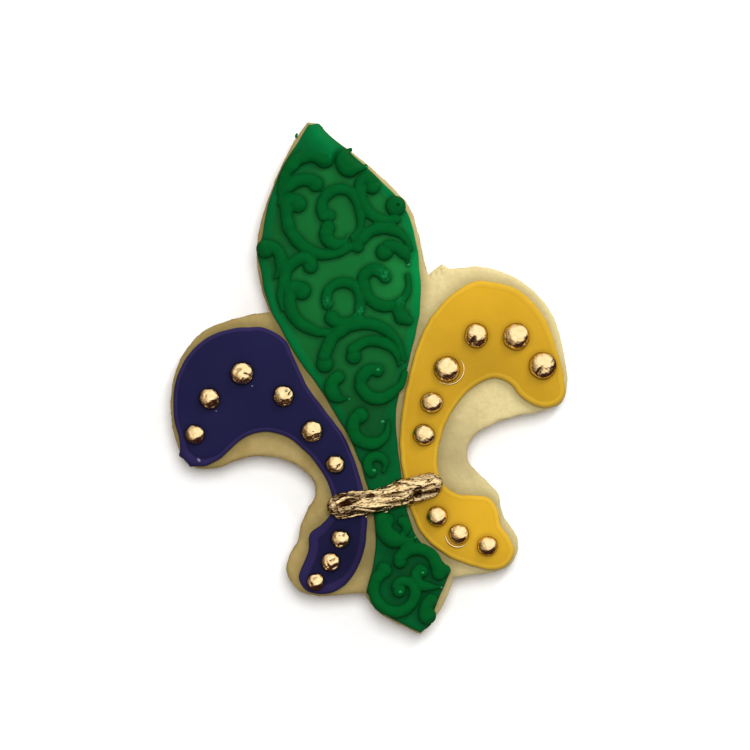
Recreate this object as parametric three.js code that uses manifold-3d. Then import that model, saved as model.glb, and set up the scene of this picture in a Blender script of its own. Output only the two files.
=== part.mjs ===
// A butter cookie cut as a fleur-de-lis: a flat baked base, three flooded fields of icing, piped green
// scrolls, golden dots and a golden band round the waist. Millimetres, +Z up. The cookie lies on its flat
// underside with its tip towards +Y, and the origin is at the middle of the underside's box.
import * as THREE from 'three';
import { mergeVertices } from 'three/addons/utils/BufferGeometryUtils.js';
import Module from 'manifold-3d';

const wasm = await Module();
wasm.setup();

// Driving sizes. The outlines below are drawn for a cookie 109 mm long.
const cookieThickness = 7;
const icingThickness = 1.25;
const icingTop = cookieThickness + icingThickness;
const grooveDepth = 0.25;
const outlineStep = 3.2;
const strandStep = 2;
const strandSpread = 1.18;
const strandRise = 1.05;
const headRise = 0.95;
const dotRise = 0.95;
const bandHeight = 2.7;

// Edge profiles, from the bottom up: height, and how far the outline is drawn in at that height. The
// icing's rim was piped first, so a shallow groove parts it from the flooded field.
const bakedEdge = [[0, 0.6], [0.8, 0], [5.2, 0], [6.5, 0.5], [cookieThickness, 1.5]];
const rimEdge = (width) => [[0, 0.25], [0.55, 0], [1.1, width * 0.3], [icingThickness, width * 0.62],
  [icingThickness - grooveDepth, width], [icingThickness, width + 0.6]];
const narrowRim = rimEdge(1.2);
const broadRim = rimEdge(1.8);

// Outlines, anticlockwise. Each row is a smooth stretch, and rows meet at corners: a row runs on to the
// first point of the next one.
const cookieOutline = [
  // the tall petal's blunt tip and left flank
  [[1.0, 54.0]],
  [[-1.0, 54.6], [-5.4, 50.2], [-12.5, 40.2], [-16.2, 32.2], [-17.2, 25.5], [-17.0, 20.5]],
  // left lobe, hollow and foot
  [[-16.5, 17.4], [-19.4, 17.6], [-26, 17.3], [-32, 15.7], [-37.4, 10.6], [-40.6, 3.2], [-41.1, -4],
    [-39.9, -10], [-34.8, -12.2], [-27, -11.4], [-20.5, -12.9], [-15.9, -16.8], [-14.3, -20.8],
    [-16.6, -24.2], [-19, -27.4], [-20, -30.2], [-22.8, -33.6], [-23.9, -36.9], [-21.9, -41],
    [-17.3, -42.9]],
  // foot of the stem
  [[-9.0, -43.9], [-8.5, -45.6], [-5.4, -50]],
  [[0.9, -54.7], [4.9, -51.7], [7.8, -48.3]],
  // right foot, hollow and lobe
  [[10.0, -44.5], [14.5, -44.8], [19, -45.1], [22.8, -43.9], [24.8, -39.8], [23.5, -36], [22.4, -33.4],
    [23, -31], [21.9, -28], [18.9, -23.4], [17.7, -20.7], [19.3, -17], [23.5, -15], [29, -14.2],
    [36, -14.1], [39.7, -13], [41.4, -9], [41.9, -2], [41.2, 5], [38.6, 10.4], [34.5, 14.7],
    [29.5, 17.6], [25, 18.4]],
  // torn burr beside the tall petal
  [[22.0, 18.7]],
  [[20.7, 20.1]],
  // right flank of the tall petal
  [[17.3, 18.3], [17.1, 25], [16.7, 32], [14, 37.4], [8, 45.5], [2.9, 51.1]],
];

const purpleOutline = [
  [[-14.3, 10.6], [-15.9, 12.8], [-19, 14.6], [-24.4, 15.6], [-30, 14.9], [-35.2, 11.9], [-39, 6.4],
    [-40.5, 0], [-40.3, -5.6]],
  [[-40.8, -8.2]],
  [[-39.2, -10.7], [-36, -11.4], [-32.4, -10.3], [-28, -7.6], [-23.6, -6.7], [-19, -8.2], [-15.4, -12],
    [-12.6, -17.2], [-11.5, -22], [-12.4, -26.4], [-15.2, -28.4], [-17.9, -29.9], [-18.4, -32.8],
    [-19.9, -35.1], [-21.6, -37.6], [-20.7, -41], [-16.7, -42.6], [-12.4, -41.5], [-8.8, -38],
    [-6, -32.3], [-4.9, -26], [-5, -20], [-6.2, -12], [-9.2, -5.2], [-11.8, 0.3], [-13.2, 5.8]],
];

const greenOutline = [
  // tip and left flank down to the waist, with the bulge where a scroll hangs over the edge
  [[-0.8, 54.2], [-2.8, 51.9], [-7.2, 47.4], [-10.8, 42.4], [-13.4, 37.3], [-14.9, 33.2],
    [-16.6, 30.4], [-16.6, 27], [-16.8, 23], [-16.3, 18], [-14.6, 12.4], [-12.4, 6], [-9.6, 0],
    [-7.4, -6], [-5.5, -11.5], [-4.3, -17.5], [-3.8, -22.5], [-3.8, -29], [-4.4, -34], [-6, -38.7]],
  // foot of the stem
  [[-8.5, -43.9], [-7.2, -47], [-4.9, -49.9]],
  [[0.9, -54.4], [3.9, -52.8], [5, -49.9]],
  [[9.8, -42.9], [8.2, -40.4], [4.9, -36.2], [3.5, -31.5], [3.4, -25], [3.8, -18], [4.5, -11.5],
    [5.9, -5.8], [8.2, -2], [10, 1.9], [12.6, 7.4], [14.9, 13.8], [16, 21], [16.3, 27.5],
    [15.6, 32.6], [13.4, 36.9], [9.9, 42.2], [5.9, 47.6]],
  [[1.7, 52.9]],
];

const yellowOutline = [
  [[27, 15.2], [22.5, 14], [18.1, 11.2], [14.3, 7.5], [10.8, 1.8], [7.6, -5.2], [5.5, -11.2],
    [4.3, -16.5], [4, -22], [4.1, -29.5], [5.7, -35], [9.8, -39.9], [15.5, -43.5], [20, -44.7],
    [23.1, -42.7], [23.5, -39.6], [21.9, -36.6], [21.9, -33], [21.2, -30.4], [18.8, -28.7],
    [15.4, -28.2], [12.4, -25.9], [11.3, -22.5], [12.2, -17.6], [15.7, -11.5], [20.6, -7.1],
    [26, -5.3], [29.6, -7.2], [31.8, -11], [35.2, -13.5], [38.9, -12.9], [40.3, -9], [40.4, -4],
    [39.9, 2.8], [37.4, 8.9], [33.2, 13]],
];

// Green scrolls. Each strand is [radius, tail radius, ...arcs], and an arc is its centre x and y, then
// radius and angle in degrees where it starts and where it ends. A strand runs smoothly from arc to arc.
const strands = [
  // tall petal, from the tip down
  [1.2, 0.5, [-2.4, 42.4, 5.2, 50, 5.5, 140], [-2.4, 42.4, 5.9, 158, 7.2, 188]],
  [1.3, 0.35, [6.9, 45.2, 2, 95, 2, 270], [6.9, 45.2, 2.2, 285, 3, 318]],
  [1.15, 0.4, [-4.6, 37.6, 5.4, 65, 5.6, 165]],
  [1.1, 0.8, [-7.2, 37.8, 1.6, 50, 1.6, 160], [-2.4, 34.6, 6.8, 172, 6.7, 215],
    [-2.4, 34.6, 6.9, 232, 8.8, 304]],
  [1, 0.7, [2.2, 35.8, 3.85, 195, 3.85, 10], [0.6, 33.6, 5.5, 0, 5.6, -55]],
  [1.2, 0.3, [0.4, 30.7, 2.2, 170, 2.4, 335]],
  [1.05, 0.8, [8.6, 39.2, 1.5, 40, 1.5, 160], [12.6, 37, 5.7, 180, 6, 275]],
  [1.05, 0.5, [8.9, 23.9, 5.9, 140, 6.1, 5]],
  [1.1, 0.3, [9.8, 22.3, 3.7, 80, 4, -14]],
  [1.1, 0.5, [6.2, 19.4, 2.3, 20, 2.4, 170], [8.4, 18.3, 4.6, 198, 4.8, 370]],
  [1.2, 0.8, [12.6, 12.4, 2.7, 155, 2.8, 245]],
  [1.1, 0.4, [-15, 28.2, 2.9, 65, 3, 0], [-16.8, 28.4, 4.8, -10, 5, -55]],
  [1.05, 0.5, [-7.5, 25.4, 1.5, -5, 1.6, 80], [-8.3, 21.2, 5.6, 98, 4.5, 145],
    [-8.3, 21.2, 4.7, 172, 6.5, 215]],
  [1.15, 0.6, [-10.3, 19.8, 1.6, 50, 1.6, 160], [-6.2, 17.3, 5.9, 178, 5.7, 215],
    [-6.2, 17.3, 5.7, 235, 6.8, 290]],
  [0.95, 0.9, [-1, 17.2, 3.5, 178, 3.2, 90], [-1, 17.2, 3.3, 60, 3.6, -20], [-1, 17.2, 4, -40, 4.8, -57]],
  [1.1, 0.9, [-1.2, 15.5, 3.6, 222, 3.6, 315]],
  // lower petal and waist
  [1.15, 0.5, [0.3, 3, 8.1, 158, 8.7, -6]],
  [1, 0.35, [2.4, 1.7, 5.7, 128, 5.4, -6]],
  [1.1, 0.6, [2.6, -1.2, 2.7, 100, 3.6, 180], [2.6, -1.2, 3.6, 200, 3.7, 285], [2.6, -1.2, 4, 315, 6, 366]],
  [1.25, 0.3, [-4.7, -0.9, 2.3, 130, 2.6, 275]],
  [1.1, 0.45, [-0.9, -10.2, 3.5, 140, 3.5, 250], [-0.9, -10.2, 3.7, 280, 3.9, 360]],
  [0.95, 0.4, [-1.1, -18.3, 1.8, 225, 1.9, -50]],
  // foot of the stem
  [1.1, 0.3, [1.6, -31.2, 3.9, 160, 3.7, 240], [1.6, -31.2, 3.7, 260, 4.2, 300]],
  [0.95, 0.5, [0.4, -31.8, 1.9, 35, 1.9, -40]],
  [1.05, 0.6, [2.9, -41.3, 4.4, 135, 4.1, 0], [2.9, -41.3, 4.2, -12, 4.3, -30]],
  [0.95, 0.3, [4.3, -43, 1.9, 120, 2.2, 270], [4.3, -43, 2.9, 295, 3.9, 313]],
  [1.05, 0.9, [-2.4, -44.8, 4.7, 118, 4.3, 250], [-2.4, -44.8, 4.4, 270, 4.1, 345],
    [-0.8, -45, 2.2, 15, 1.6, 140]],
  [1.1, 0.9, [6.3, -51.3, 3.8, 110, 3.6, 175]],
];

// Round heads where a strand starts or ends, and knobs of icing at the petal's points: x, y, radius.
const heads = [
  [0.9, 53, 1.2], [1, 46.4, 1.9], [-1.7, 41.6, 1.6], [-6.2, 38.3, 1.75], [-0.3, 34.6, 1.2],
  [-1.2, 32.1, 1.5], [9.7, 38.7, 1.5], [13.6, 33.8, 2.05], [4.1, 27.2, 1.35], [9.4, 24.9, 1.8],
  [8.6, 19.6, 1.15], [10.3, 10.9, 1.6], [-14.8, 30.5, 1.85], [-6.3, 25, 1.45], [-9.1, 20.4, 1.9],
  [-4.4, 16.6, 1.15], [-4.1, 13.6, 1.5], [-7.4, 4.5, 1.75], [-1.2, 4.8, 1.55], [3.1, 1, 1.3],
  [-5.3, 1.2, 1.4], [-2.3, -7.5, 1.6], [-1.8, -29.8, 1.3], [1.7, -30.7, 1.1], [-0.3, -39, 1.35],
  [3.9, -41.9, 1.25], [-3.9, -40.1, 1.6], [-1.7, -44.9, 1.35], [3, -51.2, 1.5], [8.5, -42.6, 1.2],
];

// Golden dots: x, y, radius.
const purpleDots = [
  [-36.9, -4.5, 2.05], [-32.4, 2.2, 2.25], [-24.7, 6, 2.45], [-17.2, -0.3, 2.25], [-12.8, -8.7, 2.25],
  [-9.4, -16.4, 2], [-11.5, -31.9, 1.95], [-14.4, -36.2, 2], [-18.3, -39.6, 1.85],
];
const yellowDots = [
  [37, -4.9, 2.8], [32.8, 2.1, 2.75], [24.7, 4, 2.55], [17.3, -1.6, 2.7], [12.8, -7.8, 2.3],
  [9.9, -14.1, 2.25], [9.2, -31.3, 2.15], [12.9, -35.8, 2.1], [18.2, -39.4, 2.1],
];

// The golden band: its middle line, half widths from end to end, and ridges that run along it.
const bandLine = [[-12.2, -25.1], [-7, -25.3], [-2, -25.6], [4, -25.1], [11.2, -24.3]];
const bandHalfWidths = [1.9, 2.7, 2.8, 2.75, 2.65, 2.55, 2.55, 2.6, 2.75, 2.8, 2.75, 2.65, 2.1];
const bandSection = [[-1, 0], [1, 0], [0.97, 0.5], [0.6, 0.9], [0.2, 0.82], [-0.25, 1], [-0.75, 0.86],
  [-0.96, 0.45]];

const strandSection = [[-1, 0], [1, 0], [0.82, 0.62], [0, 1], [-0.82, 0.62]];
const headProfile = [[0, 0], [0.92, 0], [1, 0.35], [0.7, 0.85], [0, 1]];
const dotProfile = [[0, 0], [0.84, 0], [1, 0.3], [0.86, 0.72], [0.45, 0.95], [0, 1]];

const materials = {
  cookie: new THREE.MeshStandardMaterial({ color: 0xcdb888, roughness: 0.9, metalness: 0 }),
  purple: new THREE.MeshStandardMaterial({ color: 0x2a2452, roughness: 0.5, metalness: 0 }),
  green: new THREE.MeshStandardMaterial({ color: 0x0f6a35, roughness: 0.45, metalness: 0 }),
  yellow: new THREE.MeshStandardMaterial({ color: 0xd9a631, roughness: 0.45, metalness: 0 }),
  gold: new THREE.MeshStandardMaterial({ color: 0xe3be7d, roughness: 0.3, metalness: 1 }),
};

const vector = ([x, y]) => new THREE.Vector2(x, y);

function outlineFrom(rows) {
  return rows.flatMap((row, i) => {
    const next = rows[(i + 1) % rows.length][0];
    const curve = new THREE.SplineCurve([...row, next].map(vector));
    const steps = Math.max(1, Math.round(curve.getLength() / outlineStep));
    return curve.getSpacedPoints(steps).slice(0, -1);
  });
}

// The outline with every side moved inwards by the same distance.
function drawnIn(outline, distance) {
  return outline.map((point, i) => {
    const arriving = point.clone().sub(outline.at(i - 1)).normalize();
    const leaving = outline[(i + 1) % outline.length].clone().sub(point).normalize();
    const inwards = new THREE.Vector2(-arriving.y - leaving.y, arriving.x + leaving.x);
    return point.clone().addScaledVector(inwards, distance / (1 + arriving.dot(leaving)));
  });
}

// A closed body with level top and bottom, whose side follows an edge profile all the way round.
function slab(rows, edge, base) {
  const outline = outlineFrom(rows);
  const count = outline.length;
  const rings = edge.map(([, inset]) => drawnIn(outline, inset));
  const positions = rings.flatMap((ring, level) => ring.flatMap(({ x, y }) => [x, y, base + edge[level][0]]));
  const index = [];
  for (let level = 0; level + 1 < rings.length; level += 1) {
    for (let i = 0; i < count; i += 1) {
      const here = level * count + i;
      const next = level * count + ((i + 1) % count);
      index.push(here, next, here + count, next, next + count, here + count);
    }
  }
  const topStart = (rings.length - 1) * count;
  for (const [a, b, c] of THREE.ShapeUtils.triangulateShape(rings[0], [])) {
    index.push(c, b, a);
  }
  for (const [a, b, c] of THREE.ShapeUtils.triangulateShape(rings.at(-1), [])) {
    index.push(topStart + a, topStart + b, topStart + c);
  }
  const geometry = new THREE.BufferGeometry();
  geometry.setAttribute('position', new THREE.Float32BufferAttribute(positions, 3));
  geometry.setIndex(index);
  geometry.computeVertexNormals();
  return geometry;
}

// A straight extrusion bent along a flat curve: sizeAt gives half the width and the height at 0 to 1.
function bentAlong(curve, section, steps, base, sizeAt) {
  const shape = new THREE.Shape(section.map(vector));
  const geometry = new THREE.ExtrudeGeometry(shape, { depth: 1, steps, bevelEnabled: false });
  const position = geometry.attributes.position;
  for (let i = 0; i < position.count; i += 1) {
    const along = position.getZ(i);
    const [halfWidth, height] = sizeAt(along);
    const aside = position.getX(i) * halfWidth;
    const place = curve.getPointAt(along);
    const heading = curve.getTangentAt(along);
    const up = base + position.getY(i) * height;
    position.setXYZ(i, place.x - heading.y * aside, place.y + heading.x * aside, up);
  }
  geometry.computeVertexNormals();
  return geometry;
}

function arcPoints([x, y, startRadius, startAngle, endRadius, endAngle]) {
  const steps = Math.ceil(Math.abs(endAngle - startAngle) / 30);
  return Array.from({ length: steps + 1 }, (_, i) => {
    const angle = THREE.MathUtils.degToRad(THREE.MathUtils.lerp(startAngle, endAngle, i / steps));
    const radius = THREE.MathUtils.lerp(startRadius, endRadius, i / steps);
    return new THREE.Vector2(x + radius * Math.cos(angle), y + radius * Math.sin(angle));
  });
}

// A piped strand keeps its radius over its first half and then tapers to its tail. It has spread sideways.
function strandGeometry([radius, tailRadius, ...arcs]) {
  const curve = new THREE.SplineCurve(arcs.flatMap(arcPoints));
  const steps = Math.ceil(curve.getLength() / strandStep);
  return bentAlong(curve, strandSection, steps, icingTop, (along) => {
    const size = THREE.MathUtils.lerp(radius, tailRadius, THREE.MathUtils.smoothstep(along, 0.5, 1));
    return [size * strandSpread, size * strandRise];
  });
}

// A dome of icing: its profile is given in radii outwards and in heights upwards.
function domeGeometry([x, y, radius], height, profile, sides) {
  const points = profile.map(([out, up]) => new THREE.Vector2(out * radius, up * height));
  return new THREE.LatheGeometry(points, sides).rotateX(Math.PI / 2).translate(x, y, icingTop);
}

const headGeometry = (head) => domeGeometry(head, headRise * head[2], headProfile, 8);
const dotGeometry = (dot) => domeGeometry(dot, dotRise * dot[2], dotProfile, 10);

function bandGeometry() {
  const curve = new THREE.SplineCurve(bandLine.map(vector));
  const last = bandHalfWidths.length - 1;
  return bentAlong(curve, bandSection, last, icingTop, (along) => {
    const halfWidth = bandHalfWidths[Math.round(along * last)];
    return [halfWidth, bandHeight * Math.sqrt(halfWidth / Math.max(...bandHalfWidths))];
  });
}

// One body from a geometry whose triangles are loose; the flat ones at a pole are dropped.
function solidOf(geometry) {
  geometry.deleteAttribute('normal');
  geometry.deleteAttribute('uv');
  const merged = mergeVertices(geometry, 1e-4);
  const corners = merged.index.array;
  const kept = [];
  for (let i = 0; i < corners.length; i += 3) {
    const [a, b, c] = corners.slice(i, i + 3);
    if (a !== b && b !== c && c !== a) {
      kept.push(a, b, c);
    }
  }
  const vertProperties = merged.attributes.position.array;
  return new wasm.Manifold(new wasm.Mesh({ numProp: 3, vertProperties, triVerts: new Uint32Array(kept) }));
}

function geometryOf(solid) {
  const { vertProperties, triVerts } = solid.getMesh();
  const geometry = new THREE.BufferGeometry();
  geometry.setAttribute('position', new THREE.BufferAttribute(vertProperties, 3));
  geometry.setIndex(new THREE.BufferAttribute(triVerts, 1));
  geometry.computeVertexNormals();
  return geometry;
}

const cookie = new THREE.Group();

function addPiece(name, geometry, material) {
  const mesh = new THREE.Mesh(geometry, material.clone());
  mesh.name = name;
  cookie.add(mesh);
}

addPiece('cookie', slab(cookieOutline, bakedEdge, 0), materials.cookie);
addPiece('icing_purple', slab(purpleOutline, narrowRim, cookieThickness), materials.purple);
addPiece('icing_green', slab(greenOutline, broadRim, cookieThickness), materials.green);
addPiece('icing_yellow', slab(yellowOutline, narrowRim, cookieThickness), materials.yellow);

// Strands and heads that touch have run together, so each group of them is one body.
const piped = [...strands.map(strandGeometry), ...heads.map(headGeometry)];
const scrollwork = piped.map(solidOf).reduce((joined, solid) => joined.add(solid));
const scrolls = scrollwork.decompose().map(geometryOf);
scrolls.forEach((geometry) => geometry.computeBoundingBox());
scrolls.sort((a, b) => b.boundingBox.max.y - a.boundingBox.max.y);
scrolls.forEach((geometry, i) => addPiece(`scroll_${i + 1}`, geometry, materials.green));

purpleDots.forEach((dot, i) => addPiece(`dot_purple_${i + 1}`, dotGeometry(dot), materials.gold));
yellowDots.forEach((dot, i) => addPiece(`dot_yellow_${i + 1}`, dotGeometry(dot), materials.gold));
addPiece('band', bandGeometry(), materials.gold);

// The origin goes to the middle of the whole cookie's box, on the surface it lies on.
const middle = new THREE.Box3().setFromObject(cookie, true).getCenter(new THREE.Vector3());
cookie.position.set(-middle.x, -middle.y, 0);

export default cookie;
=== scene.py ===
"""The looks of an iced butter cookie cut as a fleur-de-lis: a baked base, three flooded fields of icing,
piped green scrolls, golden dots and a golden band round the waist.

Sizes are in millimetres until a mesh is made, and the drawing's places are counted from the crossing of
the cookie's two axes, as the frame has them. Each piece stands for the frame's nodes that it names.
"""
import functools
import math

import bpy
import numpy as np
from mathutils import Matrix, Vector, kdtree
from mathutils.bvhtree import BVHTree
from mathutils.geometry import delaunay_2d_cdt


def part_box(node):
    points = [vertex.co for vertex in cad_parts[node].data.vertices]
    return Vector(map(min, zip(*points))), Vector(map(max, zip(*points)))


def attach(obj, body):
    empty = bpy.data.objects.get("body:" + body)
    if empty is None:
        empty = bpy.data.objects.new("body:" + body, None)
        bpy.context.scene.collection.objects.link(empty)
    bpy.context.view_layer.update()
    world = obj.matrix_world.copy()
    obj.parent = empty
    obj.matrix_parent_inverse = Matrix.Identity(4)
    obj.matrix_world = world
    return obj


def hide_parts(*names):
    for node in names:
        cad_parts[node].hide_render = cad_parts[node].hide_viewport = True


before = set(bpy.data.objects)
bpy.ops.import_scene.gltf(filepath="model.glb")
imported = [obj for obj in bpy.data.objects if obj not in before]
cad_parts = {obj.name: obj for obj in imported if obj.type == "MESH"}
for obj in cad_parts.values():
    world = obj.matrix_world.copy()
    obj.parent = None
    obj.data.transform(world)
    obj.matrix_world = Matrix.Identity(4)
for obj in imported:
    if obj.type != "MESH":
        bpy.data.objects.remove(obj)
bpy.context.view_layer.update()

bl_info = {
    "name": "Iced fleur-de-lis cookie",
    "version": (1, 0),
    "blender": (4, 5, 0),
    "location": "View3D > Sidebar > Cookie",
    "description": "Builds the looks of a decorated butter cookie round its packed frame",
    "category": "Add Mesh",
}

MM = 0.001
BODY = "root"

# Places, in the drawing's millimetres. Its origin in the frame comes from one dot that was drawn here:
KNOWN_DOT = "dot_purple_3"
KNOWN_DOT_PLACE = np.array([-24.7, 6.0])

# Piped strokes: strand radius, tail radius, then arcs as centre x and y, and radius and angle in degrees
# where the arc starts and where it ends. A stroke runs smoothly from arc to arc.
STROKES = [
    (1.2, 0.5, (-2.4, 42.4, 5.2, 50, 5.5, 140), (-2.4, 42.4, 5.9, 158, 7.2, 188)),
    (1.3, 0.35, (6.9, 45.2, 2, 95, 2, 270), (6.9, 45.2, 2.2, 285, 3, 318)),
    (1.15, 0.4, (-4.6, 37.6, 5.4, 65, 5.6, 165)),
    (1.1, 0.8, (-7.2, 37.8, 1.6, 50, 1.6, 160), (-2.4, 34.6, 6.8, 172, 6.7, 215),
     (-2.4, 34.6, 6.9, 232, 8.8, 304)),
    (1, 0.7, (2.2, 35.8, 3.85, 195, 3.85, 10), (0.6, 33.6, 5.5, 0, 5.6, -55)),
    (1.2, 0.3, (0.4, 30.7, 2.2, 170, 2.4, 335)),
    (1.05, 0.8, (8.6, 39.2, 1.5, 40, 1.5, 160), (12.6, 37, 5.7, 180, 6, 275)),
    (1.05, 0.5, (8.9, 23.9, 5.9, 140, 6.1, 5)),
    (1.1, 0.3, (9.8, 22.3, 3.7, 80, 4, -14)),
    (1.1, 0.5, (6.2, 19.4, 2.3, 20, 2.4, 170), (8.4, 18.3, 4.6, 198, 4.8, 370)),
    (1.2, 0.8, (12.6, 12.4, 2.7, 155, 2.8, 245)),
    (1.1, 0.4, (-15, 28.2, 2.9, 65, 3, 0), (-16.8, 28.4, 4.8, -10, 5, -55)),
    (1.05, 0.5, (-7.5, 25.4, 1.5, -5, 1.6, 80), (-8.3, 21.2, 5.6, 98, 4.5, 145),
     (-8.3, 21.2, 4.7, 172, 6.5, 215)),
    (1.15, 0.6, (-10.3, 19.8, 1.6, 50, 1.6, 160), (-6.2, 17.3, 5.9, 178, 5.7, 215),
     (-6.2, 17.3, 5.7, 235, 6.8, 290)),
    (0.95, 0.9, (-1, 17.2, 3.5, 178, 3.2, 90), (-1, 17.2, 3.3, 60, 3.6, -20), (-1, 17.2, 4, -40, 4.8, -57)),
    (1.1, 0.9, (-1.2, 15.5, 3.6, 222, 3.6, 315)),
    (1.15, 0.5, (0.3, 3, 8.1, 158, 8.7, -6)),
    (1, 0.35, (2.4, 1.7, 5.7, 128, 5.4, -6)),
    (1.1, 0.6, (2.6, -1.2, 2.7, 100, 3.6, 180), (2.6, -1.2, 3.6, 200, 3.7, 285),
     (2.6, -1.2, 4, 315, 6, 366)),
    (1.25, 0.3, (-4.7, -0.9, 2.3, 130, 2.6, 275)),
    (1.1, 0.45, (-0.9, -10.2, 3.5, 140, 3.5, 250), (-0.9, -10.2, 3.7, 280, 3.9, 360)),
    (0.95, 0.4, (-1.1, -18.3, 1.8, 225, 1.9, -50)),
    (1.45, 0.45, (1.6, -31.2, 3.9, 160, 3.7, 240), (1.6, -31.2, 3.7, 260, 4.2, 300)),
    (0.85, 0.6, (0.6, -31.9, 1.9, 35, 1.9, -60)),
    (1.1, 1.2, (2.9, -41.3, 4.4, 135, 4.2, 0), (2.9, -41.3, 4.4, -12, 4.6, -22)),
    (0.95, 0.3, (4.3, -43, 1.9, 120, 2.2, 270), (4.3, -43, 2.9, 295, 3.9, 313)),
    (1.05, 0.9, (-2.4, -44.8, 4.7, 118, 4.3, 250), (-2.4, -44.8, 4.4, 270, 4.1, 345),
     (-0.8, -45, 2.2, 15, 1.6, 140)),
    (1.2, 1.3, (6.0, -51.3, 3.5, 115, 3.2, 178)),
]
# The radius at the very start of the strokes that start in a point.
POINTED_STARTS = {1: 0.4}

# Round heads where a stroke starts or ends: x, y, radius.
HEADS = [
    (1, 46.4, 1.9), (-1.7, 41.6, 1.6), (-6.2, 38.3, 1.75), (-0.3, 34.6, 1.2),
    (-1.2, 32.1, 1.5), (9.7, 38.7, 1.5), (13.6, 33.8, 2.05), (4.1, 27.2, 1.35), (9.4, 24.9, 1.8),
    (8.6, 19.6, 1.15), (10.3, 10.9, 1.6), (-14.8, 30.5, 1.85), (-6.3, 25, 1.45), (-9.1, 20.4, 1.9),
    (-4.4, 16.6, 1.15), (-4.1, 13.6, 1.5), (-7.4, 4.5, 1.75), (-1.2, 4.8, 1.55), (3.1, 1, 1.3),
    (-5.3, 1.2, 1.4), (-2.3, -7.5, 1.6), (-1.6, -30.1, 1.8), (1.8, -30.8, 1.0), (-0.3, -39, 1.35),
    (3.9, -41.9, 1.25), (-3.9, -40.1, 1.6), (-1.7, -44.9, 1.35), (3.1, -51.2, 1.75), (8.5, -42.6, 1.2),
]

# Where the piping was scuffed rough and pale: x, y, radius.
SCUFFS = [(-4.3, 17, 1.0), (8.5, 20.3, 1.3), (2, 13.8, 0.9), (10.6, 14.3, 0.8), (2.9, 29.8, 0.6)]

# Small dents in the piping: x, y, radius, depth.
PIPING_DENTS = [(14.1, 33.9, 0.28, 0.7), (13.4, 33.2, 0.7, 0.12)]

# Where an outline ran a little further out than its frame: x, y, radius, distance.
BULGES = {
    "icing_purple": [(-41, -8.1, 0.8, 0.3), (-39.1, -10.9, 0.8, 0.3)],
    "icing_green": [(0.9, 53.4, 1.0, 0.75)],
    "icing_yellow": [(40.6, -11.8, 2.4, 0.9), (40.9, -5.5, 4.5, 0.45)],
}

# Where the outlines turn sharply; everywhere else they run smoothly.
CORNERS = {
    "cookie": [(1, 54), (-1, 54.6), (-16.5, 17.4), (-9, -43.9), (0.9, -54.7), (10, -44.5), (22, 18.7),
               (20.7, 20.1), (17.3, 18.3)],
    "icing_purple": [(-40.8, -8.2), (-39.2, -10.7)],
    "icing_green": [(-0.8, 54.2), (-8.5, -43.9), (0.9, -54.4), (9.8, -42.9), (1.7, 52.9)],
}

# Where a surface is lighter or darker than its middle colour, partly its own colour and partly painted light
# and shade, such as the green petal's lit right flank and the yellow's lit top: x, y, radius, change as a
# share.
TONES_AND_PAINTED_LIGHT = {
    "cookie": [(15.5, -19.5, 8, -0.3), (27, 17, 9, 0.04), (41.5, -2, 9, 0.14), (-12, 41, 9, 0.22),
               (-19, -38, 7, 0.2), (-7, -37, 3, -0.33), (-38, 8, 7, 0.04)],
    "icing_purple": [(-20, 13, 7, 0.12), (-10, -35, 7, -0.35), (-36, -4, 8, 0.05)],
    "icing_green": [(0, -10, 13, -0.42), (-2, -30, 11, -0.3), (1, -45, 11, -0.5), (15.5, 20, 9, 0.6),
                    (-2, 48.2, 3.2, -0.38), (1, 51.5, 2.5, 0.15), (-13, 37, 7, -0.25),
                    (-16, 27, 6, -0.2), (-6, 9, 4, -0.2)],
    "icing_yellow": [(26, 12, 8, 0.1), (24, -1, 7, -0.22), (36, -7, 6, -0.12), (18, -34, 7, 0.2),
                     (8, -28, 5, -0.25), (10, -8, 7, -0.1)],
}

# Long round dents in the golden dots: place across and up from the middle, length and width, all as
# shares of the radius, direction in degrees, depth as a share of the radius.
DOT_DENTS = {
    "dot_purple_1": [(0.1, -0.75, 0.5, 0.22, 20, 0.16)],
    "dot_purple_2": [(0.35, -0.55, 0.45, 0.28, 35, 0.22), (-0.3, 0.3, 0.25, 0.12, 50, 0.07)],
    "dot_purple_3": [(-0.25, 0.35, 0.3, 0.14, 30, 0.12), (0.3, -0.15, 0.24, 0.14, -30, 0.1)],
    "dot_purple_4": [(0.35, 0.45, 0.22, 0.14, -20, 0.16), (0.62, 0.1, 0.24, 0.14, 60, 0.16),
                 (0.05, -0.7, 0.4, 0.2, 0, 0.18)],
    "dot_purple_5": [(0.2, -0.62, 0.34, 0.22, 10, 0.2), (0.1, -0.1, 0.1, 0.08, 0, 0.05)],
    "dot_purple_6": [(0.3, -0.3, 0.3, 0.16, 40, 0.14)],
    "dot_purple_7": [(-0.1, 0.4, 0.14, 0.1, 0, 0.08), (0.42, 0.3, 0.26, 0.12, 20, 0.14),
                 (-0.1, -0.6, 0.22, 0.14, 0, 0.14)],
    "dot_purple_8": [(0.25, 0.15, 0.42, 0.1, 15, 0.14), (-0.35, -0.35, 0.12, 0.4, 10, 0.1),
                 (0.3, -0.55, 0.5, 0.2, 20, 0.14)],
    "dot_purple_9": [(-0.05, 0.4, 0.45, 0.12, 25, 0.12), (0.15, -0.65, 0.42, 0.18, 10, 0.2),
                 (-0.55, -0.2, 0.14, 0.2, 0, 0.12)],
    "dot_yellow_1": [(-0.35, -0.4, 0.4, 0.14, 50, 0.14)],
    "dot_yellow_3": [(-0.3, -0.35, 0.42, 0.16, 55, 0.18)],
}

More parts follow.
